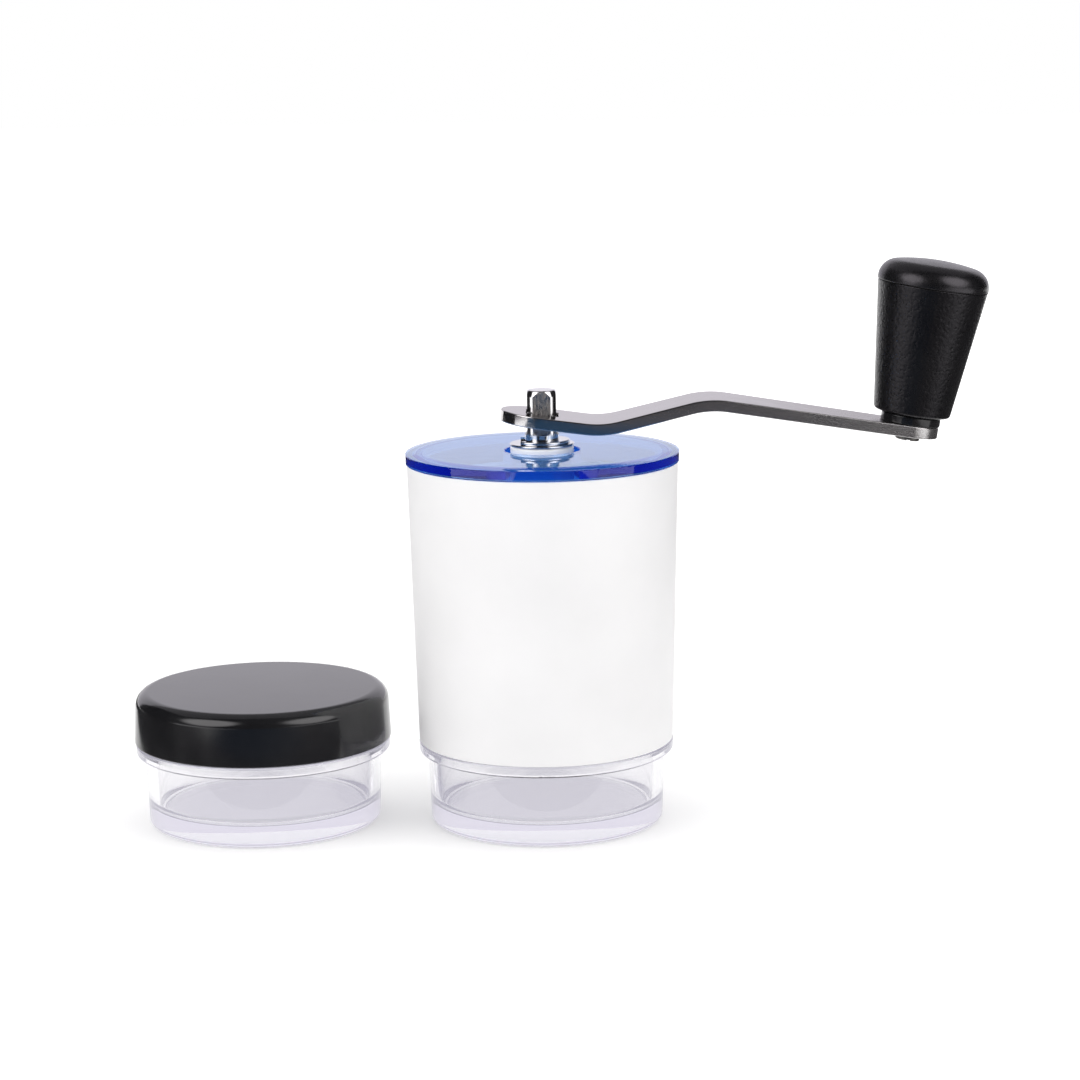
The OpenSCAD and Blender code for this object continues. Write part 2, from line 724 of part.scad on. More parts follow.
// Plan of the arm: two round ends joined by tangents
module arm_plan() {
    hub_r = arm_hub_d / 2;
    tip_r = arm_tip_d / 2;
    lean = acos((hub_r - tip_r) / arm_tip[0]);
    hub_end = [for (i = [0:end_steps]) hub_r * along(lean + (360 - 2 * lean) * i / end_steps)];
    tip_end = [for (i = [0:end_steps]) [arm_tip[0], 0] + tip_r * along(-lean + 2 * lean * i / end_steps)];
    polygon(concat(hub_end, tip_end));
}

// Bent flat arm with a square hole for the shaft and a round one for the axle's screw
module crank_arm() {
    arm_reach = arm_tip[0] + arm_tip_d;
    color("lightgray") difference() {
        at_crank() intersection() {
            linear_extrude(height = arm_reach, center = true) arm_plan();
            rotate([90, 0, 0]) linear_extrude(height = 2 * arm_hub_d, center = true)
                polygon(concat(arm_edge(-arm_h / 2), backwards(arm_edge(arm_h / 2))));
        }
        at_crank() cube([hole_x, hole_y, 2 * arm_h], center = true);
        at_knob() translate([0, 0, -arm_h]) cylinder(r = tap_r + fit_gap, h = 2 * arm_h);
    }
}

module knob_collar() {
    color("black") at_knob() translate([0, 0, collar_z]) ring(collar_d / 2, axle_d / 2 + fit_gap, collar_h);
}

// Pin with a head inside the grip and a tapped hole in its foot
module knob_axle() {
    color("silver") at_knob() difference() {
        union() {
            translate([0, 0, collar_z]) cylinder(d = axle_d, h = axle_head_z - collar_z + cut);
            translate([0, 0, axle_head_z]) cylinder(r = axle_head_r, h = axle_head_h);
        }
        translate([0, 0, collar_z - cut]) cylinder(r = tap_r + fit_gap, h = tap_h + cut);
    }
}

// Slotted screw that clamps the arm to the pin
module axle_screw() {
    slot_w = 1.1;
    head_z = -arm_h / 2 - axle_screw_h;
    color("silver") at_knob() difference() {
        union() {
            translate([0, 0, head_z]) cylinder(d = axle_screw_d, h = axle_screw_h);
            translate([0, 0, -arm_h]) cylinder(r = tap_r, h = 1.5 * arm_h + tap_h - 1);
        }
        translate([-slot_w / 2, -axle_screw_d, head_z - cut])
            cube([slot_w, 2 * axle_screw_d, axle_screw_h / 2 + cut]);
    }
}

// Tapered grip, cored out round its bearing sleeve
function grip_r(z) = (grip_base_d + (grip_top_d - grip_base_d) * z / grip_len) / 2;

module knob_grip() {
    floor_h = 4;
    bore_r = axle_d / 2 + run_gap;
    color([0.1, 0.1, 0.11]) at_knob() translate([0, 0, grip_z]) rotate_extrude() difference() {
        polygon([[bore_r, 0], [grip_r(0), 0], [grip_r(grip_len), grip_len], [bore_r, grip_len]]);
        translate([grip_r(0), 0]) lower_edge_cut(grip_round);
        polygon([[sleeve_r, floor_h], [grip_r(floor_h) - grip_wall, floor_h],
            [grip_r(grip_len) - grip_wall, grip_len], [grip_r(grip_len) - grip_wall, grip_len + cut],
            [0, grip_len + cut], [0, sleeve_len], [sleeve_r, sleeve_len]]);
    }
}

// Crowned cap with a plug that presses into the grip
module knob_cap() {
    cap_r = grip_r(grip_len) + knob_cap_lip;
    plug_r = grip_r(grip_len - plug_h) - grip_wall - fit_gap;
    plug_wall = 1.8;
    shell_h = 2.2;
    crown_z = knob_cap_h - knob_crown_r;
    shoulder_r = cap_r - knob_cap_round;
    shoulder_a = asin(shoulder_r / (knob_crown_r - knob_cap_round));
    shoulder = [shoulder_r, crown_z + (knob_crown_r - knob_cap_round) * cos(shoulder_a)];
    color([0.07, 0.07, 0.08]) at_knob() translate([0, 0, knob_cap_z]) rotate_extrude() {
        difference() {
            union() {
                square([cap_r, shoulder[1]]);
                intersection() {
                    translate(shoulder) circle(knob_cap_round);
                    square([cap_r, knob_cap_h]);
                }
                intersection() {
                    translate([0, crown_z]) circle(knob_crown_r, $fn = 360);
                    polygon([[0, 0], shoulder, shoulder + knob_cap_round * 2 * along(90 - shoulder_a),
                        [0, knob_cap_h + cut]]);
                }
            }
            square([plug_r - plug_wall, knob_cap_h - shell_h]);
        }
        translate([plug_r - plug_wall, -plug_h]) square([plug_wall, plug_h + shell_h]);
    }
}

// Lid with a rounded edge, the shaft's hole and a centring rib
module hopper_lid() {
    rib_r = body_in_r(body_top_z - lid_rib_h) - free_gap;
    color([0.1, 0.3, 0.75, 0.6]) rotate_extrude() {
        difference() {
            translate([lid_hole_d / 2, body_top_z]) square([lid_r - lid_hole_d / 2, lid_h]);
            translate([lid_r, lid_top_z]) upper_edge_cut(lid_round);
            translate([lid_r, body_top_z]) lower_edge_cut(lid_round / 3);
        }
        translate([rib_r - lid_rib_w, body_top_z - lid_rib_h]) square([lid_rib_w, lid_rib_h + lid_h / 2]);
    }
}

// Screw cap with a big round shoulder
module storage_cap() {
    color([0.06, 0.06, 0.07]) translate([spare_x, spare_y, 0]) rotate_extrude() difference() {
        polygon([[0, cap_z], [cap_base_r, cap_z], [cap_top_r, cap_top_z], [0, cap_top_z]]);
        translate([cap_top_r, cap_top_z]) upper_edge_cut(cap_round);
        translate([0, cap_z - cut]) square([cap_bore_r, cap_in_z - cap_z + cut]);
    }
}

module cap_liner() {
    color("white") translate([spare_x, spare_y, neck_top_z]) cylinder(r = cap_bore_r - fit_gap, h = liner_h);
}

grounds_jar();
hopper_body();
top_bridge();
upper_bush();
lower_bridge();
lower_bush();
outer_burr();
burr_retainer();
retainer_screws();
drive_shaft();
thrust_washer();
shaft_clip();
spring_seat();
burr_spring();
inner_burr();
click_plate();
adjusting_nut();
nut_insert();
crank_arm();
knob_collar();
knob_axle();
axle_screw();
knob_grip();
knob_cap();
hopper_lid();
spare_jar();
storage_cap();
cap_liner();
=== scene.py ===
# %% [markdown]
# # A hand cranked coffee mill
# The mill is a white body on a clear jar, with a see-through blue lid, a bent steel crank and a
# black knob. A second clear jar with a black cap stands beside it. The construction is loaded as
# a fixed frame, and each piece that shows gets a finished mesh and a finish that sit in it.

# %% Load the frame
import json
import math

import bmesh
import bpy
from mathutils import Euler, Matrix, Vector


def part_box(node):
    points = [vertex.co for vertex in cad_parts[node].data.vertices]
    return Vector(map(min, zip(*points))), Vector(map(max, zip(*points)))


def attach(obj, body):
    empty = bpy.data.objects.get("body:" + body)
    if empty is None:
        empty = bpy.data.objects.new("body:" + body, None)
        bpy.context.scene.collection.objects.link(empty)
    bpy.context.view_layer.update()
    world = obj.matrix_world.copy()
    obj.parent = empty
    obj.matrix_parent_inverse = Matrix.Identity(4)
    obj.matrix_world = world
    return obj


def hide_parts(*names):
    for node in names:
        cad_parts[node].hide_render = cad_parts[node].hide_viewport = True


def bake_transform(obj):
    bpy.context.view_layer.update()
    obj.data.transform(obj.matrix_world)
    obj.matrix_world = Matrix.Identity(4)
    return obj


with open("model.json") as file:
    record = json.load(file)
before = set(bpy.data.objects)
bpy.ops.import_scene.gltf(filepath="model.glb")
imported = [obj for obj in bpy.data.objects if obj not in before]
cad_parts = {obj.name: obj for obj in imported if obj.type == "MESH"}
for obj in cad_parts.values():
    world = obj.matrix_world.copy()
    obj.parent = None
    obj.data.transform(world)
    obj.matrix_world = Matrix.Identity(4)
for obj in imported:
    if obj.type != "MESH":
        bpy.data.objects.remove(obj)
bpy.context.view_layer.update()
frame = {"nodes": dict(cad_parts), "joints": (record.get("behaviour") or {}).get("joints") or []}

MM = 0.001
print("nodes:", len(frame["nodes"]))

# %% [markdown]
# ## The camera
# The picture was taken from the front with a long lens, a little above the mill, and the camera
# leaned slightly to one side. A turn, a tilt and a lean are three plain rotations, so the
# camera's matrix is their product. That is easier to correct than an aim at a target.

# %% Camera
CAMERA_PLACE = Vector((0, -831.5, 234.9)) * MM
CAMERA_TURN = math.radians(0.07)
CAMERA_TILT = math.radians(90 - 10.28)
CAMERA_LEAN = math.radians(-0.838)
CAMERA_LENS = 95.45
CAMERA_SENSOR = 36

scene = bpy.context.scene
scene.view_settings.view_transform = "Standard"
camera = bpy.data.objects.new("camera", bpy.data.cameras.new("camera"))
scene.collection.objects.link(camera)
camera.data.lens = CAMERA_LENS
camera.data.sensor_width = CAMERA_SENSOR
camera.matrix_world = (
    Matrix.Translation(CAMERA_PLACE)
    @ Matrix.Rotation(CAMERA_TURN, 4, "Z")
    @ Matrix.Rotation(CAMERA_TILT, 4, "X")
    @ Matrix.Rotation(CAMERA_LEAN, 4, "Z")
)
scene.camera = camera
print("camera looks along", [round(-value, 3) for value in camera.matrix_world.col[2][:3]])

# %% [markdown]
# ## Shader nodes by name
# A finish is a small tree of nodes. Placing each node by hand takes many lines, so one helper
# adds a node and fills its sockets, either with a plain value or with a link from another node.
# The helpers after it are the few patterns that come back in nearly every finish.

# %% Node helpers
def fill(tree, node, socket, value):
    """Gives a node's socket a number or a colour, or links it to another node's output."""
    if isinstance(value, bpy.types.NodeSocket):
        tree.links.new(value, node.inputs[socket])
    else:
        node.inputs[socket].default_value = value


def put(tree, kind, settings=None, **sockets):
    """Adds a shader node. A socket's value is a number, a colour or another node's output."""
    node = tree.nodes.new("ShaderNode" + kind)
    for setting, value in (settings or {}).items():
        setattr(node, setting, value)
    for name, value in sockets.items():
        fill(tree, node, name.replace("_", " "), value)
    return node


def put_math(tree, kind, operation, *values):
    """Adds a Math or VectorMath node, fills its inputs in order and gives its outputs."""
    node = put(tree, kind, {"operation": operation})
    for number, value in enumerate(values):
        fill(tree, node, number, value)
    return node.outputs


def worked_out(tree, operation, *values):
    """The result of a sum on numbers or on other nodes' outputs."""
    return put_math(tree, "Math", operation, *values)["Value"]


def own_place(tree):
    """A point's place in the piece's own coordinates."""
    return put(tree, "TexCoord").outputs["Object"]


def noise(tree, place, scale, detail):
    """Soft noise from 0 to 1."""
    return put(tree, "TexNoise", Vector=place, Scale=scale, Detail=detail).outputs["Fac"]


def ramped(tree, value, start, end):
    """A mask that goes from 0 to 1 as a value goes from start to end."""
    return put(tree, "MapRange", Value=value, From_Min=start, From_Max=end).outputs["Result"]


def between(tree, mask, low, high):
    """A value that goes from low to high as a mask goes from 0 to 1."""
    return put(tree, "MapRange", Value=mask, To_Min=low, To_Max=high).outputs["Result"]


def tinted(tree, mask, dark, light):
    """A colour that goes from dark to light as a mask goes from 0 to 1."""
    ramp = put(tree, "ValToRGB", Fac=mask)
    ramp.color_ramp.elements[0].color = (*dark, 1)
    ramp.color_ramp.elements[1].color = (*light, 1)
    return ramp.outputs["Color"]


def bumped(tree, height, depth, strength):
    """A normal from a height map, with the depth in metres."""
    return put(tree, "Bump", Height=height, Distance=depth, Strength=strength).outputs["Normal"]


def mixed(tree, factor, first, second):
    """One shader where a factor is 0 and another where it is 1."""
    choice = put(tree, "MixShader", Fac=factor)
    tree.links.new(first, choice.inputs[1])
    tree.links.new(second, choice.inputs[2])
    return choice.outputs["Shader"]


def new_finish(name, **constants):
    """A material with its shader, whose even values are set on the shader's own sockets."""
    material = bpy.data.materials.new(name)
    material.use_nodes = True
    tree = material.node_tree
    shader = tree.nodes["Principled BSDF"]
    for socket, value in constants.items():
        shader.inputs[socket.replace("_", " ")].default_value = value
    return material, tree, shader


def feed(tree, shader, **sources):
    """Links values that change over the surface to the shader."""
    for socket, source in sources.items():
        tree.links.new(source, shader.inputs[socket.replace("_", " ")])


print("node helpers ready")

# %% [markdown]
# ## Two effects that many finishes share
# Moulded plastic is never quite even: it has soft clouds where it cooled and a fine grain from
# the mould. Worked steel has marks that run one way. Each effect is a node group with its own
# sockets, built once and placed in every finish that needs it with other values.

# %% Moulded surface and tool marks
CLOUD_SPAN = (0.3, 0.7)
MARK_SPAN = (0.35, 0.65)
STREAK_WIDTH = 6


def group_with(name, inputs, outputs):
    """An empty shader group with its sockets and its two end nodes."""
    group = bpy.data.node_groups.new(name, "ShaderNodeTree")
    for socket, kind in inputs.items():
        group.interface.new_socket(socket, in_out="INPUT", socket_type="NodeSocket" + kind)
    for socket in outputs:
        group.interface.new_socket(socket, in_out="OUTPUT", socket_type="NodeSocketFloat")
    return group, group.nodes.new("NodeGroupInput"), group.nodes.new("NodeGroupOutput")


def moulded_surface_group():
    """Soft clouds and a fine grain, both from 0 to 1."""
    sockets = {"Vector": "Vector", "Cloud Scale": "Float", "Grain Scale": "Float"}
    group, given, result = group_with("Moulded surface", sockets, ("Clouds", "Grain"))
    place = given.outputs["Vector"]
    clouds = noise(group, place, given.outputs["Cloud Scale"], detail=3.0)
    grain = noise(group, place, given.outputs["Grain Scale"], detail=4.0)
    fill(group, result, "Clouds", ramped(group, clouds, *CLOUD_SPAN))
    fill(group, result, "Grain", grain)
    return group


def tool_marks_group():
    """Fine marks along one way. The stretch says how fast they change along X, Y and Z."""
    sockets = {"Vector": "Vector", "Stretch": "Vector", "Scale": "Float"}
    group, given, result = group_with("Tool marks", sockets, ("Marks", "Streaks"))
    stretched = (given.outputs["Vector"], given.outputs["Stretch"])
    place = put_math(group, "VectorMath", "MULTIPLY", *stretched)["Vector"]
    marks = noise(group, place, given.outputs["Scale"], detail=6.0)
    broad = worked_out(group, "DIVIDE", given.outputs["Scale"], STREAK_WIDTH)
    fill(group, result, "Marks", ramped(group, marks, *MARK_SPAN))
    fill(group, result, "Streaks", noise(group, place, broad, detail=2.0))
    return group


MOULDED = moulded_surface_group()
MARKS = tool_marks_group()


def moulded(tree, cloud_scale, grain_scale):
    """The moulded surface on a piece's own coordinates."""
    sockets = {"Vector": own_place(tree), "Cloud_Scale": cloud_scale, "Grain_Scale": grain_scale}
    return put(tree, "Group", {"node_tree": MOULDED}, **sockets).outputs


def tool_marks(tree, stretch, scale, lean=0.0):
    """The tool marks on a piece's own coordinates, turned about Y to follow a leaning piece."""
    along = put(tree, "Mapping", Vector=own_place(tree), Rotation=(0, -lean, 0)).outputs["Vector"]
    sockets = {"Vector": along, "Stretch": stretch, "Scale": scale}
    return put(tree, "Group", {"node_tree": MARKS}, **sockets).outputs


print("groups:", ", ".join(group.name for group in bpy.data.node_groups))

# %% [markdown]
# ## White moulded plastic
# The body and the bushes are plain white plastic with a satin skin. A flat white looks like
# paper, so the clouds shift the shade a little and the grain gives the highlights a soft edge.

# %% White and natural plastic
def plastic(name, dark, light, smooth, rough, relief, clouds=35.0, grain=1400.0, strength=0.4):
    """Moulded plastic between two shades and two roughnesses, with a grain's relief in metres."""
    material, tree, shader = new_finish(name)
    skin = moulded(tree, clouds, grain)
    feed(
        tree, shader,
        Base_Color=tinted(tree, skin["Clouds"], dark, light),
        Roughness=between(tree, skin["Clouds"], smooth, rough),
        Normal=bumped(tree, skin["Grain"], relief, strength),
    )
    return material


white_plastic = plastic(
    "White plastic", dark=(0.84, 0.84, 0.84), light=(0.88, 0.88, 0.88),
    smooth=0.40, rough=0.46, relief=2e-5,
)
bush_white = plastic(
    "Bush white", dark=(0.94, 0.94, 0.93), light=(0.96, 0.96, 0.95),
    smooth=0.22, rough=0.30, relief=1e-5,
)
bush_natural = plastic(
    "Natural nylon", dark=(0.72, 0.69, 0.60), light=(0.79, 0.76, 0.68),
    smooth=0.35, rough=0.45, relief=2e-5,
)
dark_plastic = plastic(
    "Dark plastic", dark=(0.035, 0.036, 0.038), light=(0.06, 0.06, 0.064),
    smooth=0.4, rough=0.5, relief=3e-5,
)
liner_foam = plastic(
    "Liner foam", dark=(0.62, 0.62, 0.60), light=(0.74, 0.74, 0.72),
    smooth=0.7, rough=0.85, relief=2e-4, clouds=160.0,
)
burr_ceramic = plastic(
    "Burr ceramic", dark=(0.66, 0.64, 0.59), light=(0.75, 0.73, 0.69),
    smooth=0.3, rough=0.5, relief=4e-5, clouds=90.0,
)
print("plastics ready")

# %% [markdown]
# ## Black plastic
# The storage cap and the knob's collar have a polished black skin, which shows mostly what it
# mirrors. The knob is the same black with a fine leather-like texture. Cells from a Voronoi
# texture, broken up by noise, make that texture as bumps between tiny creases.

# %% Gloss black and grained black
CREASES = 1050.0
CREASE_GRAIN = 0.8
BLACK_SHEEN = (0.98, 0.93, 1.0, 1)


def grained_black(name, shine, smooth, rough, depth):
    """Black plastic with a fine creased texture of a depth in metres."""
    material, tree, shader = new_finish(name, Specular_IOR_Level=shine, Specular_Tint=BLACK_SHEEN)
    skin = moulded(tree, cloud_scale=70.0, grain_scale=1500.0)
    pattern = put(tree, "TexVoronoi", {"feature": "SMOOTH_F1"}, Vector=own_place(tree), Scale=CREASES)
    cells = pattern.outputs["Distance"]
    creases = worked_out(tree, "MULTIPLY_ADD", skin["Grain"], CREASE_GRAIN, cells)
    feed(
        tree, shader,
        Base_Color=tinted(tree, skin["Clouds"], (0.003, 0.003, 0.0035), (0.006, 0.006, 0.0065)),
        Roughness=between(tree, cells, smooth, rough),
        Normal=bumped(tree, creases, depth, strength=0.5),
    )
    return material


gloss_black = plastic(
    "Gloss black", dark=(0.006, 0.006, 0.007), light=(0.012, 0.012, 0.013),
    smooth=0.11, rough=0.17, relief=6e-6, clouds=60.0, grain=900.0, strength=0.3,
)
grip_black = grained_black("Grained black", shine=0.3, smooth=0.25, rough=0.36, depth=2e-4)
knob_cap_black = grained_black("Knob cap black", shine=0.5, smooth=0.25, rough=0.32, depth=4e-5)
print("blacks ready")

# %% [markdown]
# ## Clear and blue plastic
# The jars and the lid let light through. The shader's transmission bends it as the real plastic
# does. A clear solid would throw a black shadow, because the light's straight way is blocked, so
# shadow rays pass through a tinted clear shader instead. Light that bounces on and on inside a rim
# would end black when the bounces run out, so after a few of them it ends in a soft glow. The
# colour comes from depth: a ray loses red and green on its way, so the lid's thin top is pale and
# its edge is deep blue. The jars soak up only a little, which shows as lavender where the light
# goes a long way along the wall.

# %% See-through finishes
CAUGHT_DEPTH = 4.5


def see_through(name, tint, shade, caught_glow, depth_colour, depth_density, rough, ripple):
    """A clear plastic with a faint ripple, whose shadows are tinted and not black."""
    material, tree, shader = new_finish(
        name, Base_Color=(*tint, 1), Transmission_Weight=1.0, IOR=1.49
    )
    skin = moulded(tree, cloud_scale=45.0, grain_scale=120.0)
    feed(
        tree, shader,
        Roughness=between(tree, skin["Clouds"], 0.0, rough),
        Normal=bumped(tree, skin["Grain"], ripple, strength=0.25),
    )
    path = put(tree, "LightPath").outputs
    caught = worked_out(tree, "GREATER_THAN", path["Ray Depth"], CAUGHT_DEPTH)
    glow = put(tree, "Emission", Color=(*caught_glow, 1)).outputs["Emission"]
    clear = put(tree, "BsdfTransparent", Color=(*shade, 1)).outputs["BSDF"]
    lasting = mixed(tree, caught, shader.outputs["BSDF"], glow)
    depth = put(tree, "VolumeAbsorption", Color=(*depth_colour, 1), Density=depth_density)
    result = tree.nodes["Material Output"]
    fill(tree, result, "Surface", mixed(tree, path["Is Shadow Ray"], lasting, clear))
    fill(tree, result, "Volume", depth.outputs["Volume"])
    return material


clear_plastic = see_through(
    "Clear plastic", tint=(0.925, 0.922, 0.932), shade=(0.88, 0.88, 0.92),
    caught_glow=(0.52, 0.51, 0.58), depth_colour=(0.5, 0.49, 0.64), depth_density=4.5,
    rough=0.02, ripple=2e-5,
)
blue_plastic = see_through(
    "Blue lid", tint=(1, 1, 1), shade=(0.70, 0.80, 0.97), caught_glow=(0.3, 0.5, 0.85),
    depth_colour=(0.0, 0.50, 0.86), depth_density=150.0, rough=0.03, ripple=4e-5,
)
print("see-through finishes ready")

# %% [markdown]
# ## Steel and brass
# The arm is flat bar, polished by its hub and brushed along its length towards its tip, so its
# marks are long in X and short across. The shaft, washer and clip are turned, so their marks run
# round, which is a fast change along Z. The marks change roughness and height, and broad streaks
# shift the colour.

# %% Metals
CRANK_TILT = math.radians(7.8)
LENGTHWISE = (0.03, 1.0, 1.0)
ROUND_THE_AXIS = (0.15, 0.15, 1.0)
EVERY_WAY = (1.0, 1.0, 1.0)
POLISHED, BRUSHED = 0.03, 0.09
BRUSHED_ROUGH = 0.16
STREAK_SHARE = 0.4
LATHE_MARKS = 5000.0


def metal(name, dark, light, smooth, rough, stretch, scale, depth):
    """Worked metal with marks along one way."""
    material, tree, shader = new_finish(name, Metallic=1.0)
    marks = tool_marks(tree, stretch, scale)
    feed(
        tree, shader,
        Base_Color=tinted(tree, marks["Streaks"], dark, light),
        Roughness=between(tree, marks["Marks"], smooth, rough),
        Normal=bumped(tree, marks["Marks"], depth, strength=0.3),
    )
    return material


def arm_steel_finish():
    """Flat bar that is polished by its hub and brushed along its length towards its tip."""
    material, tree, shader = new_finish(
        "Brushed steel", Metallic=1.0, Specular_Tint=(0.8, 0.79, 0.79, 1)
    )
    marks = tool_marks(tree, LENGTHWISE, scale=4000.0, lean=CRANK_TILT)
    place = put(tree, "SeparateXYZ", Vector=own_place(tree))
    brushed = ramped(tree, place.outputs["X"], POLISHED, BRUSHED)
    grooves = worked_out(tree, "MULTIPLY", brushed, marks["Marks"])
    streaks = worked_out(tree, "MULTIPLY_ADD", marks["Streaks"], STREAK_SHARE, grooves)
    polish = between(tree, marks["Marks"], 0.09, 0.15)
    feed(
        tree, shader,
        Base_Color=tinted(tree, streaks, (0.60, 0.59, 0.59), (0.44, 0.43, 0.425)),
        Roughness=worked_out(tree, "MULTIPLY_ADD", brushed, BRUSHED_ROUGH, polish),
        Normal=bumped(tree, streaks, 8e-6, strength=0.4),
    )
    return material


arm_steel = arm_steel_finish()
turned_steel = metal(
    "Turned steel", dark=(0.58, 0.58, 0.59), light=(0.72, 0.72, 0.73), smooth=0.07, rough=0.15,
    stretch=ROUND_THE_AXIS, scale=LATHE_MARKS, depth=3e-6,
)
rough_steel = metal(
    "Worn steel", dark=(0.10, 0.095, 0.09), light=(0.30, 0.29, 0.28), smooth=0.35, rough=0.55,
    stretch=EVERY_WAY, scale=1200.0, depth=1.5e-4,
)
brass = metal(
    "Brass", dark=(0.62, 0.43, 0.17), light=(0.75, 0.55, 0.25), smooth=0.2, rough=0.35,
    stretch=ROUND_THE_AXIS, scale=4000.0, depth=5e-6,
)
print("metals ready")

# %% [markdown]
# ## Turned pieces
# Most of this mill is round: jars, body, lid, cap, knob. A lathe makes such a piece from half of
# its outline, and so does the spin operator. The outline is a few corners, each with its own
# rounding, which is a bevel on the corner's vertex before the spin. An outline that starts on
# the axis stays open there, because an edge on the axis would leave faces with no area.

# %% Lathe helpers
ROUND_STEPS = 5
LATHE_STEPS = 128
MERGE = 1e-7
SHARP_ANGLE = math.radians(32)


def round_corner(bm, corner, radius):
    """Rounds one corner of a wire outline to a radius."""
    sides = [edge.other_vert(corner).co - corner.co for edge in corner.link_edges]
    opening = sides[0].angle(sides[1])
    bmesh.ops.bevel(
        bm, geom=[corner], offset=radius / math.tan(opening / 2), offset_type="OFFSET",
        segments=ROUND_STEPS, profile=0.5, affect="VERTICES", material=-1,
    )


def spun(bm):
    """Spins what a bmesh holds once round Z and closes it."""
    whole = bm.verts[:] + bm.edges[:]
    bmesh.ops.spin(
        bm, geom=whole, cent=(0, 0, 0), axis=(0, 0, 1), angle=2 * math.pi, steps=LATHE_STEPS,
        use_merge=True,
    )
    bmesh.ops.remove_doubles(bm, verts=bm.verts[:], dist=MERGE)
    return bm


def swept(bm, angle, steps, climb=0.0):
    """Carries a closed section round Z and up by a climb in metres, and closes its two ends."""
    whole = bm.verts[:] + bm.edges[:]
    bmesh.ops.spin(
        bm, geom=whole, cent=(0, 0, 0), axis=(0, 0, 1), dvec=(0, 0, climb / steps), angle=angle,
        steps=steps,
    )
    bmesh.ops.holes_fill(bm, edges=[edge for edge in bm.edges if edge.is_boundary])
    return bm


def outline(*points):
    """A wire of (radius, height) or (radius, height, rounding) points in millimetres."""
    bm = bmesh.new()
    corners = [bm.verts.new((point[0] * MM, 0, point[1] * MM)) for point in points]
    ends = corners[1:] + corners[:1] if points[0][0] > 0 else corners[1:]
    for pair in zip(corners, ends):
        bm.edges.new(pair)
    for corner, point in zip(corners, points):
        if len(point) > 2:
            round_corner(bm, corner, point[2] * MM)
    return bm


def turned(*points):
    """A turned solid from its outline."""
    return spun(outline(*points))


def as_object(name, bm, finish):
    """Makes an object of a bmesh, at the origin and with one finish."""
    mesh = bpy.data.meshes.new(name)
    bm.to_mesh(mesh)
    bm.free()
    mesh.materials.append(finish)
    made = bpy.data.objects.new(name, mesh)
    scene.collection.objects.link(made)
    return made


def piece(name, bm, finish, body, slot, *nodes):
    """Makes a piece of a bmesh. It rides on a body, if it has just one, and replaces CAD nodes."""
    bmesh.ops.recalc_face_normals(bm, faces=bm.faces[:])
    for face in bm.faces:
        face.smooth = True
    for edge in bm.edges:
        edge.smooth = edge.calc_face_angle(0) < SHARP_ANGLE
    made = as_object(name, bm, finish)
    even = made.modifiers.new("Even shading", "WEIGHTED_NORMAL")
    even.keep_sharp = True
    if body:
        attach(made, body)
    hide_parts(*nodes)
    print(name, len(made.data.polygons), "faces")
    return made


# %% [markdown]
# ## The two jars
# Both jars come from one mould: a thick floor, a slightly tapered wall, a round flange that the
# body or the cap comes down to, and a screw neck. The neck's thread is one small section that
# the spin operator carries round and up at the same time.

# %% Jars
FLANGE_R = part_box("grounds_jar")[1].x / MM
NECK_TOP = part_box("grounds_jar")[1].z / MM
NECK_H = 11.6
NECK_R = 34.35
FLANGE_H = 3.4
FLANGE_STEP = 2.6
JAR_TAPER = 0.7
JAR_WALL = 2
JAR_DRAFT = 0.8
FLOOR = 5.8
SEAT = NECK_TOP - NECK_H
WALL_R = FLANGE_R - FLANGE_STEP
BASE_R = WALL_R - JAR_TAPER
MOUTH_R = NECK_R - JAR_WALL
FLOOR_R = MOUTH_R - JAR_DRAFT
THREAD_START = SEAT + 3.2
THREAD_PITCH = 3.6
THREAD_TURNS = 1.5
THREAD_STEPS = 144


def jar_mesh():
    """A jar on the origin."""
    return turned(
        (0, 0), (BASE_R, 0, 2.0), (WALL_R, SEAT - FLANGE_H, 0.4), (FLANGE_R, SEAT - FLANGE_H, 1.1),
        (FLANGE_R, SEAT, 0.55), (NECK_R, SEAT, 0.3), (NECK_R, NECK_TOP, 0.5), (MOUTH_R, NECK_TOP, 0.5),
        (FLOOR_R, FLOOR, 3.0), (0, FLOOR),
    )


def thread_mesh():
    """A thread of one turn and a half that stands on the neck."""
    foot, crest, half, top = NECK_R + 0.02, NECK_R + 0.62, 1.1, 0.45
    section = outline(
        (foot, THREAD_START - half), (crest, THREAD_START - top),
        (crest, THREAD_START + top), (foot, THREAD_START + half),
    )
    climb = THREAD_PITCH * THREAD_TURNS * MM
    return swept(section, 2 * math.pi * THREAD_TURNS, THREAD_STEPS, climb)


def moved(bm, x, y):
    """The same bmesh at another place on the table."""
    bmesh.ops.translate(bm, verts=bm.verts[:], vec=(x, y, 0))
    return bm


spare_low, spare_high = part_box("spare_jar")
SPARE_X = (spare_low.x + spare_high.x) / 2
SPARE_Y = (spare_low.y + spare_high.y) / 2
piece("clear_jar", jar_mesh(), clear_plastic, "jar", "clear_plastic", "grounds_jar")
piece("clear_jar_thread", thread_mesh(), clear_plastic, "jar", "clear_plastic")
spare_mesh = moved(jar_mesh(), SPARE_X, SPARE_Y)
piece("clear_spare_jar", spare_mesh, clear_plastic, "spare", "clear_plastic", "spare_jar")
spare_thread = moved(thread_mesh(), SPARE_X, SPARE_Y)
piece("clear_spare_thread", spare_thread, clear_plastic, "spare", "clear_plastic")

# %% [markdown]
# ## The white body
# One moulding holds the tapered wall, the funnel that leads the beans down, and the tube round
# the burrs. Its half outline runs up the outside, over the rim, down the inside and round the
# tube, so that one spin makes all of it, with a soft edge wherever the mould had one.

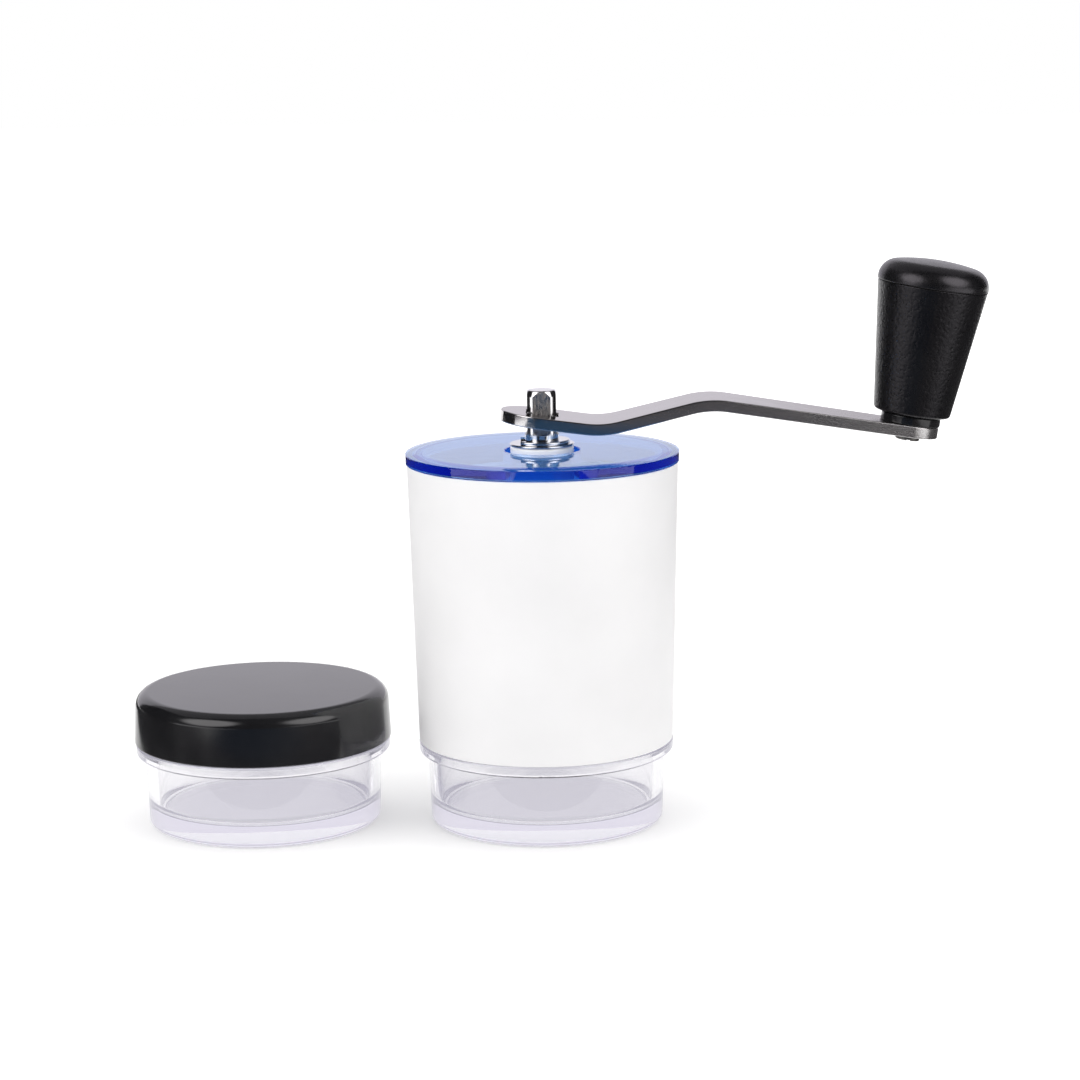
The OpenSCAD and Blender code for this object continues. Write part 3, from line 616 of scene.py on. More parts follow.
# %% Body
body_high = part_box("hopper_body")[1]
burr_low, burr_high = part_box("outer_burr")
BODY_TOP = body_high.z / MM
BODY_R = body_high.x / MM
BODY_BASE_R = 37.75
BODY_WALL = 2.4
FLARE = (BODY_R - BODY_BASE_R) / (BODY_TOP - SEAT)
BURR_FIT = 0.05
TUBE_LOW = burr_low.z / MM
TUBE_R = burr_high.x / MM + BURR_FIT
TUBE_WALL = 2.4
TUBE_OUT = TUBE_R + TUBE_WALL
LOWER_BRIDGE_H = 4
TUBE_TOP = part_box("lower_bridge")[0].z / MM + LOWER_BRIDGE_H
RETAINER_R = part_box("burr_retainer")[1].x / MM
RETAINER_TOP = TUBE_LOW + 3
THROAT_R = TUBE_R - 1.65
THROAT = TUBE_TOP + 1.6
FUNNEL_SLOPE = math.radians(40)
FUNNEL = math.tan(FUNNEL_SLOPE)
FUNNEL_H = BODY_WALL / math.cos(FUNNEL_SLOPE)
FUNNEL_FOOT = 60
BRIDGE_LOW = BODY_TOP - 7.4
LEDGE = 1.2
LEDGE_FOOT = BRIDGE_LOW - 2.5
SCREW_CIRCLE = 25.15
SCREW_TURNS = (90, 210, 330)
BOSS_R = 3.2
BOSS_H = 7.5
BOSS_STEPS = 32


def wall_in(z):
    """Inside radius of the body's wall at a height."""
    return BODY_BASE_R - BODY_WALL + FLARE * (z - SEAT)


def funnel_at(radius):
    """Height of the funnel's upper face at a radius."""
    return THROAT + (radius - THROAT_R) * FUNNEL


FUNNEL_R = wall_in(funnel_at(wall_in(THROAT)))
FOOT_R = wall_in(FUNNEL_FOOT)


def body_mesh():
    """The body with its funnel, burr tube and screw bosses."""
    bm = turned(
        (BODY_BASE_R, SEAT, 0.25), (BODY_R, BODY_TOP, 0.4), (wall_in(BODY_TOP), BODY_TOP, 0.4),
        (wall_in(BRIDGE_LOW), BRIDGE_LOW), (wall_in(BRIDGE_LOW) - LEDGE, BRIDGE_LOW, 0.3),
        (wall_in(LEDGE_FOOT), LEDGE_FOOT), (FUNNEL_R, funnel_at(FUNNEL_R), 2.0),
        (THROAT_R, THROAT, 0.6), (THROAT_R, TUBE_TOP), (TUBE_R, TUBE_TOP), (TUBE_R, TUBE_LOW),
        (RETAINER_R, TUBE_LOW, 0.3), (RETAINER_R, RETAINER_TOP, 0.3), (TUBE_OUT, RETAINER_TOP, 0.4),
        (TUBE_OUT, funnel_at(TUBE_OUT) - FUNNEL_H, 0.6),
        (FOOT_R, funnel_at(FOOT_R) - FUNNEL_H, 0.6), (wall_in(SEAT), SEAT, 0.25),
    )
    for turn in SCREW_TURNS:
        angle = math.radians(turn)
        middle = TUBE_LOW + BOSS_H / 2
        place = Vector((SCREW_CIRCLE * math.cos(angle), SCREW_CIRCLE * math.sin(angle), middle))
        bmesh.ops.create_cone(
            bm, cap_ends=True, segments=BOSS_STEPS, radius1=BOSS_R * MM, radius2=BOSS_R * MM,
            depth=BOSS_H * MM, matrix=Matrix.Translation(place * MM),
        )
    return bm


piece("white_body", body_mesh(), white_plastic, "mill", "white_plastic", "hopper_body")

# %% [markdown]
# ## The blue lid
# The lid is a disc with a rounded edge, a hole for the bush and a rib that centres it in the
# body. Its top is flat, and a wide border rounds off to the edge, which shrinks what it mirrors
# there. It rests on the body's rim, and the light that fills the hopper comes through it.

# %% Lid
lid_low, lid_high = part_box("hopper_lid")
LID_R = lid_high.x / MM
LID_TOP = lid_high.z / MM
LID_HOLE_R = 11.0
RIB_LOW = lid_low.z / MM
RIB_R = wall_in(RIB_LOW) - 0.4
RIB_IN = RIB_R - 1.8
BORDER = 6.0
BORDER_DROP = 0.3
BORDER_RINGS = 6
RIM_TOP = LID_TOP - 0.1


def border_point(share):
    """A point of the lid's border, from its edge to where its flat top starts."""
    return (LID_R - BORDER * share, RIM_TOP + BORDER_DROP * (1 - (1 - share) ** 2))


lid_mesh = turned(
    (LID_HOLE_R, BODY_TOP, 0.25), (RIB_IN, BODY_TOP), (RIB_IN, RIB_LOW, 0.3), (RIB_R, RIB_LOW, 0.3),
    (RIB_R, BODY_TOP), (LID_R, BODY_TOP, 0.33), (LID_R, RIM_TOP, 0.3),
    *(border_point(ring / BORDER_RINGS) for ring in range(1, BORDER_RINGS + 1)),
    (LID_HOLE_R, RIM_TOP + BORDER_DROP, 0.35),
)
piece("blue_lid", lid_mesh, blue_plastic, "lid", "blue_plastic", "hopper_lid")

# %% [markdown]
# ## Bush, washer and clip
# The white bush stands up through the lid's hole with a small gap round it. A bright steel washer
# lies on it, and an open clip in a groove of the shaft holds it down. The clip is the same spin
# as the others, but it stops short of a full turn, and its two ends are closed with a face.

# %% Bush, washer and clip
bush_low, bush_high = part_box("upper_bush")
washer_low, washer_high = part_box("thrust_washer")
BORE_R = 5.05
BUSH_R = bush_high.x / MM
BUSH_SHANK_R = 7
BUSH_LOW = bush_low.z / MM
BUSH_TOP = bush_high.z / MM
BUSH_STEP = BODY_TOP - 0.7
WASHER_R = washer_high.x / MM
WASHER_BORE_R = BORE_R + 0.05
WASHER_LOW = washer_low.z / MM
WASHER_TOP = washer_high.z / MM

bush_mesh = turned(
    (BORE_R, BUSH_LOW), (BUSH_SHANK_R, BUSH_LOW, 0.4), (BUSH_SHANK_R, BUSH_STEP),
    (BUSH_R, BUSH_STEP, 0.3), (BUSH_R, BUSH_TOP, 0.7), (BORE_R, BUSH_TOP, 0.3),
)
piece("white_bush", bush_mesh, bush_white, "mill", "bush_plastic", "upper_bush")
washer_mesh = turned(
    (WASHER_BORE_R, WASHER_LOW), (WASHER_R, WASHER_LOW, 0.2), (WASHER_R, WASHER_TOP, 0.3),
    (WASHER_BORE_R, WASHER_TOP, 0.15),
)
piece("bright_washer", washer_mesh, turned_steel, "spindle", "bright_steel", "thrust_washer")

clip_low, clip_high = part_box("shaft_clip")
CLIP_LOW = clip_low.z / MM
CLIP_TOP = clip_high.z / MM
CLIP_R = clip_high.x / MM
CLIP_IN = 4.05
CLIP_OPENING = math.radians(80)


def clip_mesh():
    """A ring that is open on the side away from the crank."""
    section = outline(
        (CLIP_IN, CLIP_LOW), (CLIP_R, CLIP_LOW, 0.15), (CLIP_R, CLIP_TOP, 0.25),
        (CLIP_IN, CLIP_TOP, 0.15),
    )
    start = Matrix.Rotation(math.pi + CLIP_OPENING / 2, 3, "Z")
    bmesh.ops.rotate(section, verts=section.verts[:], cent=(0, 0, 0), matrix=start)
    return swept(section, 2 * math.pi - CLIP_OPENING, LATHE_STEPS)


piece("open_clip", clip_mesh(), turned_steel, "spindle", "bright_steel", "shaft_clip")

# %% [markdown]
# ## The shaft
# The shaft is a turned bar whose top was milled square, so its corners are still round. It is
# made as a stack of rings: one circle is extruded from height to height, and each new ring is
# pressed flat where the cutter passed. A short curve in the flats is where the cutter ran out,
# and a cone turned on the end gives each flat its arched top.

# %% Drive shaft values
shaft_low, shaft_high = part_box("drive_shaft")
SHAFT_R = 5.0
SHAFT_STEPS = 192
SQUARE = 4.25
SQUARE_LEN = 13.3
SQUARE_TOP = shaft_high.z / MM
SQUARE_LOW = SQUARE_TOP - SQUARE_LEN
RUNOUT = 1.6
RUNOUT_STEPS = 6
END_CONE = 1.8
END_R = SQUARE - 0.1
END_EDGE = 0.12
END_STEPS = 8
STUD_LOW = shaft_low.z / MM
STUD_R = 2.5
STUD_EDGE = 0.4
STUD_END_R = 2.1
KEY_R = 3.5
KEY_FLAT = 2.8
KEY_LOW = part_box("click_plate")[0].z / MM + 0.1
SPINDLE_R = 4.0
SPINDLE_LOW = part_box("spring_seat")[1].z / MM
SHOULDER = 0.5
JOURNAL_LOW = BUSH_LOW - 1.5
print("shaft from", round(STUD_LOW, 2), "to", round(SQUARE_TOP, 2), "mm")

# %% [markdown]
# ## Milled steel
# The cutter left the square's flats duller than the turned bar, with scratches up and down. A
# second material would need its own faces. One finish for the whole shaft is simpler: it knows a
# flat by its height and by its distance from the axis.

# %% Milled steel
UP_AND_DOWN = (1.0, 1.0, 0.4)
FLAT_FADE = (SQUARE - 0.04) * MM, (SQUARE - 0.01) * MM
SQUARE_FADE = SQUARE_LOW * MM, (SQUARE_LOW + 0.5) * MM
FLAT_DULL = 0.5


def milled_steel_finish():
    """Bright turned steel with duller, scratched flats where the cutter passed."""
    material, tree, shader = new_finish("Milled steel", Metallic=1.0)
    lathe = tool_marks(tree, ROUND_THE_AXIS, LATHE_MARKS)
    scratches = tool_marks(tree, UP_AND_DOWN, scale=2200.0)
    away = put_math(tree, "VectorMath", "ABSOLUTE", own_place(tree))["Vector"]
    reach = put(tree, "SeparateXYZ", Vector=away).outputs
    widest = worked_out(tree, "MAXIMUM", reach["X"], reach["Y"])
    on_flat = ramped(tree, widest, *FLAT_FADE)
    flats = worked_out(tree, "MULTIPLY", on_flat, ramped(tree, reach["Z"], *SQUARE_FADE))
    left_by_scratches = between(tree, scratches["Marks"], 1.0, 0.35)
    scratched = worked_out(tree, "MULTIPLY", flats, left_by_scratches)
    bright = between(tree, lathe["Marks"], 0.06, 0.13)
    feed(
        tree, shader,
        Base_Color=tinted(tree, scratched, (0.66, 0.66, 0.67), (0.36, 0.34, 0.325)),
        Roughness=worked_out(tree, "MULTIPLY_ADD", scratched, FLAT_DULL, bright),
        Normal=bumped(tree, scratched, 4e-5, strength=0.4),
    )
    return material


milled_steel = milled_steel_finish()
print("milled steel ready")

# %% [markdown]
# ## The shaft's rings
# Each ring is a height, a radius and how far its sides are pressed in. The list runs from the
# threaded stud at the bottom up to the square, and the run-out and the end cone get more rings.

# %% Drive shaft
def shaft_sections():
    """Height, radius and the half widths across flats of each ring, from the stud upwards."""
    free = SHAFT_R
    yield from ((STUD_LOW, STUD_END_R, free, free), (STUD_LOW + STUD_EDGE, STUD_R, free, free))
    yield from ((KEY_LOW, STUD_R, free, free), (KEY_LOW, KEY_R, free, KEY_FLAT))
    yield from ((SPINDLE_LOW, KEY_R, free, KEY_FLAT), (SPINDLE_LOW, SPINDLE_R, free, free))
    yield from ((JOURNAL_LOW, SPINDLE_R, free, free), (JOURNAL_LOW + SHOULDER, SHAFT_R, free, free))
    yield from ((CLIP_LOW, SHAFT_R, free, free), (CLIP_LOW, SPINDLE_R, free, free))
    yield from ((CLIP_TOP, SPINDLE_R, free, free), (CLIP_TOP, SHAFT_R, free, free))
    first = math.asin(1 - (SHAFT_R - SQUARE) / RUNOUT)
    for step in range(RUNOUT_STEPS + 1):
        lean = first + (math.pi / 2 - first) * step / RUNOUT_STEPS
        flat = SQUARE + RUNOUT * (1 - math.sin(lean))
        yield (SQUARE_LOW + RUNOUT * (1 - math.cos(lean)), SHAFT_R, flat, flat)
    for step in range(END_STEPS + 1):
        height = (END_CONE - END_EDGE) * step / END_STEPS
        radius = SHAFT_R + (END_R - SHAFT_R) * height / END_CONE
        yield (SQUARE_TOP - END_CONE + height, radius, SQUARE, SQUARE)
    yield (SQUARE_TOP, END_R - END_EDGE, SQUARE, SQUARE)


def press(ring, height, radius, flat_x, flat_y):
    """Puts a ring of vertices at a height and presses its sides flat."""
    for vert in ring:
        round_place = vert.co.xy.normalized() * radius
        vert.co.x = max(-flat_x, min(flat_x, round_place.x)) * MM
        vert.co.y = max(-flat_y, min(flat_y, round_place.y)) * MM
        vert.co.z = height * MM


def of_kind(kind, geometry):
    """The vertices or the edges among what an operator made."""
    return [item for item in geometry if isinstance(item, kind)]


def shaft_mesh():
    """The whole shaft, one ring at a time."""
    bm = bmesh.new()
    sections = list(shaft_sections())
    ring = bmesh.ops.create_circle(bm, cap_ends=True, segments=SHAFT_STEPS, radius=1)["verts"]
    press(ring, *sections[0])
    edges = bm.edges[:]
    for section in sections[1:]:
        grown = bmesh.ops.extrude_edge_only(bm, edges=edges)["geom"]
        edges = [edge for edge in of_kind(bmesh.types.BMEdge, grown) if edge.is_boundary]
        press(of_kind(bmesh.types.BMVert, grown), *section)
    bmesh.ops.edgeloop_fill(bm, edges=edges)
    return bm


piece("steel_shaft", shaft_mesh(), milled_steel, "spindle", "bright_steel", "drive_shaft")

# %% [markdown]
# ## The crank arm
# The arm is flat steel bar with two round ends and two bends, and it leans a little on the
# shaft's square. Its plan starts as one circle whose halves are pulled apart, cut across where
# the bar bends. The square hole is opened, the sheet is bent along the side view, and a face
# extrusion gives it its thickness. A small bevel then softens every edge.

# %% Crank arm values
ARM_H = 3.4
ARM_STEPS = 96
HUB_R = 12.2
TIP_R = 8.5
HUB_REACH = 18.0
RAMP_LEN = 31.7
RAMP = math.radians(21.2)
TIP_REACH = 59.6
TIP_DROP = math.radians(1.2)
BEND_R = 28.0
BEND_STEPS = 10
ARM_EDGE = 0.35
ARM_EDGE_STEPS = 3
RIM_ANGLE = math.radians(60)
HUB_RISE = 4.7
HUB_Z = SQUARE_LOW + HUB_RISE
HOLE_X = 4.67
HOLE_Y = 4.4
NEAR_AXIS = 1
CUT_MERGE = 1e-6


def heading(angle):
    """Unit vector along the arm's side view at an angle."""
    return Vector((math.cos(angle), math.sin(angle)))


def bend_stations(corner, angle_in, angle_out):
    """Points and angles along one bend of the arm's middle line."""
    turn = angle_out - angle_in
    side = math.copysign(1, turn)
    start = corner - BEND_R * math.tan(abs(turn) / 2) * heading(angle_in)
    centre = start + side * BEND_R * heading(angle_in + math.pi / 2)
    for step in range(BEND_STEPS + 1):
        angle = angle_in + turn * step / BEND_STEPS
        yield (centre - side * BEND_R * heading(angle + math.pi / 2), angle)


first_bend = Vector((HUB_REACH, 0))
second_bend = first_bend + RAMP_LEN * heading(RAMP)
ARM_TIP = second_bend + TIP_REACH * heading(-TIP_DROP)
stations = [(Vector((-2 * HUB_R, 0)), 0.0)]
stations += bend_stations(first_bend, 0, RAMP)
stations += bend_stations(second_bend, RAMP, -TIP_DROP)
stations += [(ARM_TIP + 2 * TIP_R * heading(-TIP_DROP), -TIP_DROP)]
print("arm tip at", [round(value, 2) for value in ARM_TIP], "in the hub's plane")

# %% Crank arm
AT_CRANK = Matrix.Translation((0, 0, HUB_Z * MM)) @ Matrix.Rotation(CRANK_TILT, 4, "Y")


def bent(x, y, offset):
    """Where a point of the flat plan lies on the bent bar, at an offset from its middle."""
    for (here, angle), (ahead, next_angle) in zip(stations, stations[1:]):
        if x <= ahead.x:
            break
    share = (x - here.x) / (ahead.x - here.x)
    middle = here.lerp(ahead, share)
    turn = angle + (next_angle - angle) * share
    side = middle + offset * heading(turn + math.pi / 2)
    return Vector((side.x, y, side.y)) * MM


def cut_across(bm, place, normal):
    """Cuts the plan along a plane without removing anything."""
    whole = bm.verts[:] + bm.edges[:] + bm.faces[:]
    bmesh.ops.bisect_plane(bm, geom=whole, dist=CUT_MERGE, plane_co=place, plane_no=normal)


def arm_mesh():
    """The bent arm in the mill's frame."""
    bm = bmesh.new()
    bmesh.ops.create_circle(bm, cap_ends=True, segments=ARM_STEPS, radius=1)
    for vert in bm.verts:
        end_r = TIP_R if vert.co.x > 0 else HUB_R
        shift = ARM_TIP.x if vert.co.x > 0 else 0
        vert.co = Vector((vert.co.x * end_r + shift, vert.co.y * end_r, 0))
    for middle, _ in stations[1:-1]:
        cut_across(bm, (middle.x, 0, 0), (1, 0, 0))
    for side in (-1, 1):
        cut_across(bm, (side * HOLE_X, 0, 0), (1, 0, 0))
        cut_across(bm, (0, side * HOLE_Y, 0), (0, 1, 0))
    hole = [face for face in bm.faces if face.calc_center_median().length < NEAR_AXIS]
    bmesh.ops.delete(bm, geom=hole, context="FACES")
    plan = {vert: vert.co.copy() for vert in bm.verts}
    for vert, flat in plan.items():
        vert.co = bent(flat.x, flat.y, -ARM_H / 2)
    grown = bmesh.ops.extrude_face_region(bm, geom=bm.faces[:], use_keep_orig=True)["geom"]
    for vert in of_kind(bmesh.types.BMVert, grown):
        below = min(plan, key=lambda other: (other.co - vert.co).length_squared)
        vert.co = bent(plan[below].x, plan[below].y, ARM_H / 2)
    bmesh.ops.recalc_face_normals(bm, faces=bm.faces[:])
    rims = [edge for edge in bm.edges if edge.calc_face_angle(0) > RIM_ANGLE]
    bmesh.ops.bevel(
        bm, geom=rims, offset=ARM_EDGE * MM, offset_type="OFFSET", segments=ARM_EDGE_STEPS,
        profile=0.5, affect="EDGES", material=-1,
    )
    bmesh.ops.transform(bm, matrix=AT_CRANK, verts=bm.verts[:])
    return bm


piece("steel_arm", arm_mesh(), arm_steel, "crank", "arm_steel", "crank_arm")

# %% [markdown]
# ## The knob
# The knob turns on a pin that is screwed to the arm's end. Its pieces are turned on their own
# axis, like the rest, and then set on the pin's axis, which the frame's knob joint gives. The
# grip is a tapered tube, the cap closes it with a crowned top, and a glossy collar spaces it
# from the arm.

# %% Knob
knob_joint = next(joint for joint in frame["joints"] if joint["name"] == "knob_spin")
KNOB_LEAN = math.atan2(knob_joint["axis"][0], knob_joint["axis"][2])
AT_KNOB = Matrix.Translation(knob_joint["pos_m"]) @ Matrix.Rotation(KNOB_LEAN, 4, "Y")
PIN_R = 3.05
COLLAR_R = 8.7
COLLAR_LOW = ARM_H / 2
COLLAR_TOP = COLLAR_LOW + 2.7
GRIP_LOW = COLLAR_LOW + 2.9
GRIP_TOP = GRIP_LOW + 37.6
GRIP_BASE_R = 11.15
GRIP_TOP_R = 16.0
GRIP_WALL = 2.6
GRIP_FLOOR = GRIP_LOW + 4
GRIP_FLOOR_R = GRIP_BASE_R - GRIP_WALL + 0.5
SLEEVE_R = 6
SLEEVE_TOP = GRIP_LOW + 26
KNOB_CAP_R = GRIP_TOP_R + 0.2
KNOB_TOP = GRIP_TOP + 7.6
KNOB_INSIDE = KNOB_TOP - 2.6
KNOB_ROUND = 5.6
KNOB_STEPS = 12
CROWN_R = 60.0
PLUG_R = GRIP_TOP_R - GRIP_WALL - 0.6
PLUG_BORE_R = PLUG_R - 1.8
PLUG_LOW = GRIP_TOP - 4


def on_knob(bm):
    """Sets a piece that was turned on Z on the knob's pin."""
    bmesh.ops.transform(bm, matrix=AT_KNOB, verts=bm.verts[:])
    return bm


def swing(bm, vert, centre, angle, steps):
    """Grows a wire from its end vertex along an arc in the outline's plane."""
    pivot = Vector((centre[0], 0, centre[1])) * MM
    grown = bmesh.ops.spin(bm, geom=[vert], cent=pivot, axis=(0, 1, 0), angle=angle, steps=steps)
    return grown["geom_last"][0]


def knob_cap_mesh():
    """The crowned cap with the plug that presses into the grip."""
    shoulder_x = KNOB_CAP_R - KNOB_ROUND
    crown = math.asin(shoulder_x / (CROWN_R - KNOB_ROUND))
    crown_z = KNOB_TOP - CROWN_R
    shoulder_z = crown_z + (CROWN_R - KNOB_ROUND) * math.cos(crown)
    bm = outline(
        (0, KNOB_INSIDE), (PLUG_BORE_R, KNOB_INSIDE), (PLUG_BORE_R, PLUG_LOW, 0.3),
        (PLUG_R, PLUG_LOW, 0.3), (PLUG_R, GRIP_TOP), (KNOB_CAP_R, GRIP_TOP, 0.35),
        (KNOB_CAP_R, shoulder_z),
    )
    end = max(bm.verts, key=lambda vert: vert.co.x + vert.co.z)
    end = swing(bm, end, (shoulder_x, shoulder_z), crown - math.pi / 2, KNOB_STEPS)
    swing(bm, end, (0, crown_z), -crown, KNOB_STEPS)
    return spun(bm)


grip_mesh = turned(
    (PIN_R, GRIP_LOW, 0.3), (GRIP_BASE_R, GRIP_LOW, 1.2), (GRIP_TOP_R, GRIP_TOP, 0.4),
    (GRIP_TOP_R - GRIP_WALL, GRIP_TOP), (GRIP_FLOOR_R, GRIP_FLOOR, 0.5),
    (SLEEVE_R, GRIP_FLOOR, 0.5), (SLEEVE_R, SLEEVE_TOP, 0.5), (PIN_R, SLEEVE_TOP, 0.3),
)
collar_mesh = turned(
    (PIN_R, COLLAR_LOW), (COLLAR_R, COLLAR_LOW, 0.4), (COLLAR_R, COLLAR_TOP, 0.5), (PIN_R, COLLAR_TOP)
)
piece("black_grip", on_knob(grip_mesh), grip_black, "knob", "grip_black", "knob_grip")
piece("black_knob_cap", on_knob(knob_cap_mesh()), knob_cap_black, "knob", "grip_black", "knob_cap")
piece("black_collar", on_knob(collar_mesh), gloss_black, "crank", "gloss_black", "knob_collar")

# %% [markdown]
# ## The knob's screw
# A slotted screw clamps the arm to the pin from below. Its head is a short turned disc. Two cuts
# mark the slot's edges, and the strip between them is pushed up into the head.

# %% Axle screw
SCREW_R = 3.55
SCREW_TOP = -ARM_H / 2
SCREW_LOW = SCREW_TOP - 1.6
SHANK_R = 2
SHANK_TOP = SCREW_TOP + 10
SLOT = 0.6
SLOT_TOP = SCREW_LOW + 1.0
HEAD_FACE = SCREW_LOW + 0.3


def axle_screw_mesh():
    """The slotted head and its shank, on the pin's axis."""
    bm = turned(
        (0, SCREW_LOW), (SCREW_R, SCREW_LOW, 0.45), (SCREW_R, SCREW_TOP, 0.2), (SHANK_R, SCREW_TOP),
        (SHANK_R, SHANK_TOP, 0.4), (0, SHANK_TOP),
    )
    for side in (-1, 1):
        cut_across(bm, (side * SLOT * MM, 0, 0), (1, 0, 0))
    bottom = [
        face for face in bm.faces
        if abs(face.calc_center_median().x) < SLOT * MM
        and face.calc_center_median().z < HEAD_FACE * MM
    ]
    grown = bmesh.ops.extrude_face_region(bm, geom=bottom)["geom"]
    bmesh.ops.delete(bm, geom=bottom, context="FACES")
    for vert in of_kind(bmesh.types.BMVert, grown):
        vert.co.z = SLOT_TOP * MM
    return bm


piece("slotted_screw", on_knob(axle_screw_mesh()), rough_steel, "crank", "bright_steel", "axle_screw")

# %% [markdown]
# ## The storage cap
# The spare jar's cap is a polished black cup with a big round shoulder. It screws over the jar's
# neck and stops just above the flange.

# %% Storage cap
cap_low, cap_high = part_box("storage_cap")
CAP_R = (cap_high.x - cap_low.x) / 2 / MM
CAP_LOW = cap_low.z / MM
CAP_TOP = cap_high.z / MM
CAP_BORE_R = NECK_R + 1
CAP_DRAFT = 0.75
CAP_SHOULDER = 4.0
CAP_INSIDE = CAP_TOP - 2.4

cap_mesh = turned(
    (0, CAP_TOP), (CAP_R - CAP_DRAFT, CAP_TOP, CAP_SHOULDER), (CAP_R, CAP_LOW, 0.35),
    (CAP_BORE_R, CAP_LOW, 0.3), (CAP_BORE_R, CAP_INSIDE, 0.6), (0, CAP_INSIDE),
)
cap_mesh = moved(cap_mesh, SPARE_X, SPARE_Y)
piece("black_storage_cap", cap_mesh, gloss_black, "spare_cap", "gloss_black", "storage_cap")

# %% [markdown]
# ## The burr spring
# A small steel spring presses the inner burr down on its nut. A circle of wire, spun round the
# axis while it climbs, makes its turns, and two caps close the wire's ends. It rides on no body
# and stays where it stands.

# %% Spring
spring_low, spring_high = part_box("burr_spring")
WIRE_R = 0.6
WIRE_STEPS = 12
SPRING_R = 4.6
SPRING_TURNS = 4
SPRING_STEPS = 48


def spring_mesh():
    """One unbroken wire of four turns."""
    bm = bmesh.new()
    stand = Matrix.Rotation(math.pi / 2, 4, "X")
    start = Vector((SPRING_R * MM, 0, spring_low.z + WIRE_R * MM))
    bmesh.ops.create_circle(
        bm, segments=WIRE_STEPS, radius=WIRE_R * MM, matrix=Matrix.Translation(start) @ stand
    )
    climb = spring_high.z - spring_low.z - 2 * WIRE_R * MM
    return swept(bm, 2 * math.pi * SPRING_TURNS, SPRING_TURNS * SPRING_STEPS, climb)


spring = piece("wire_spring", spring_mesh(), turned_steel, None, "bright_steel", "burr_spring")
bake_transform(spring)

# %% [markdown]
# ## Pieces that keep their CAD shape
# The bridges, burrs, nut and small fittings sit inside, and their CAD shapes are already the real
# ones. They only need the right finish, so each node's material slots are filled with it.

# %% Finishes of the inner pieces
inner_finishes = {
    "top_bridge": white_plastic,
    "lower_bridge": white_plastic,
    "lower_bush": bush_natural,
    "outer_burr": burr_ceramic,
    "inner_burr": burr_ceramic,
    "burr_retainer": dark_plastic,
    "adjusting_nut": dark_plastic,
    "retainer_screws": turned_steel,
    "spring_seat": turned_steel,
    "click_plate": turned_steel,
    "nut_insert": brass,
    "knob_axle": turned_steel,
    "cap_liner": liner_foam,
}
for node_name, finish in inner_finishes.items():
    materials = frame["nodes"][node_name].data.materials
    materials.clear()
    materials.append(finish)
print("finished CAD nodes:", len(inner_finishes))

# %% [markdown]
# ## Floor and white room
# The object stands on a white sheet that runs on behind it without an edge. The camera sees the
# sheet brighter than its light alone would make it, and more so far away, so that it is white but
# still takes the soft shadow near the object. The world is white to the camera, and weaker as a
# light.

# %% Floor and world
def sheet(name, width, length, place, turn, finish):
    """A flat sheet that isn't part of the object. The turn is about X, Y and Z."""
    bm = bmesh.new()
    bmesh.ops.create_grid(bm, x_segments=1, y_segments=1, size=0.5)
    bmesh.ops.scale(bm, verts=bm.verts[:], vec=(width, length, 1))
    bmesh.ops.rotate(bm, verts=bm.verts[:], cent=(0, 0, 0), matrix=Euler(turn).to_matrix())
    bmesh.ops.translate(bm, verts=bm.verts[:], vec=place)
    made = as_object(name, bm, finish)
    return made


def seen_directly(tree):
    """1 for rays from the camera, from mirrors and from clear plastic."""
    path = put(tree, "LightPath").outputs
    first_hand = worked_out(tree, "MAXIMUM", path["Is Camera Ray"], path["Is Glossy Ray"])
    return worked_out(tree, "MAXIMUM", first_hand, path["Is Transmission Ray"])


FLOOR_SIZE = 12.0
FLOOR_GAP = 2e-4
FLOOR_WHITE = 0.72
FLOOR_PALE = FLOOR_WHITE - 0.01
FLOOR_LIFT = 0.36
NEAR, FAR = 0.3, 1.1
WORLD_FILL = 0.8
MIRRORED_WHITE = (0.95, 0.92, 1.0)


def floor_finish():
    """White paper that the camera sees a little brighter, and quite white far away."""
    material, tree, shader = new_finish("White sheet", Roughness=0.9, Specular_IOR_Level=0.0)
    skin = moulded(tree, cloud_scale=6.0, grain_scale=300.0)
    distance = put_math(tree, "VectorMath", "LENGTH", own_place(tree))["Value"]
    lift = between(tree, ramped(tree, distance, NEAR, FAR), FLOOR_LIFT, 1.0)
    feed(
        tree, shader,
        Base_Color=tinted(tree, skin["Clouds"], (FLOOR_PALE,) * 3, (FLOOR_WHITE,) * 3),
        Emission_Strength=worked_out(tree, "MULTIPLY", seen_directly(tree), lift),
    )
    return material


def world_light():
    """White all round, weaker as a light, and faintly lavender in mirrors like the studio was."""
    world = bpy.data.worlds.new("White room")
    scene.world = world
    world.use_nodes = True
    tree = world.node_tree
    shine = tree.nodes["Background"]
    mirrored = put(tree, "LightPath").outputs["Is Glossy Ray"]
    tree.links.new(tinted(tree, mirrored, (1, 1, 1), MIRRORED_WHITE), shine.inputs["Color"])
    tree.links.new(between(tree, seen_directly(tree), WORLD_FILL, 1.0), shine.inputs["Strength"])


sheet("floor", FLOOR_SIZE, FLOOR_SIZE, (0, 0, -FLOOR_GAP), (0, 0, 0), floor_finish())
world_light()
print("floor and world ready")

# %% [markdown]
# ## Dark cards
# In a white room black plastic and steel turn pale, because they mirror it. A photographer puts
# dark cards in front, at the sides and overhead, and leaves gaps where the lamps should show as
# bright streaks. These cards are seen by mirroring surfaces only, so they take no light away.
# The long card on the floor is navy at the left and brown grey at the right, which gives the arm
# its two tones. Two cards farther to the left are navy too, and the others are black or grey.

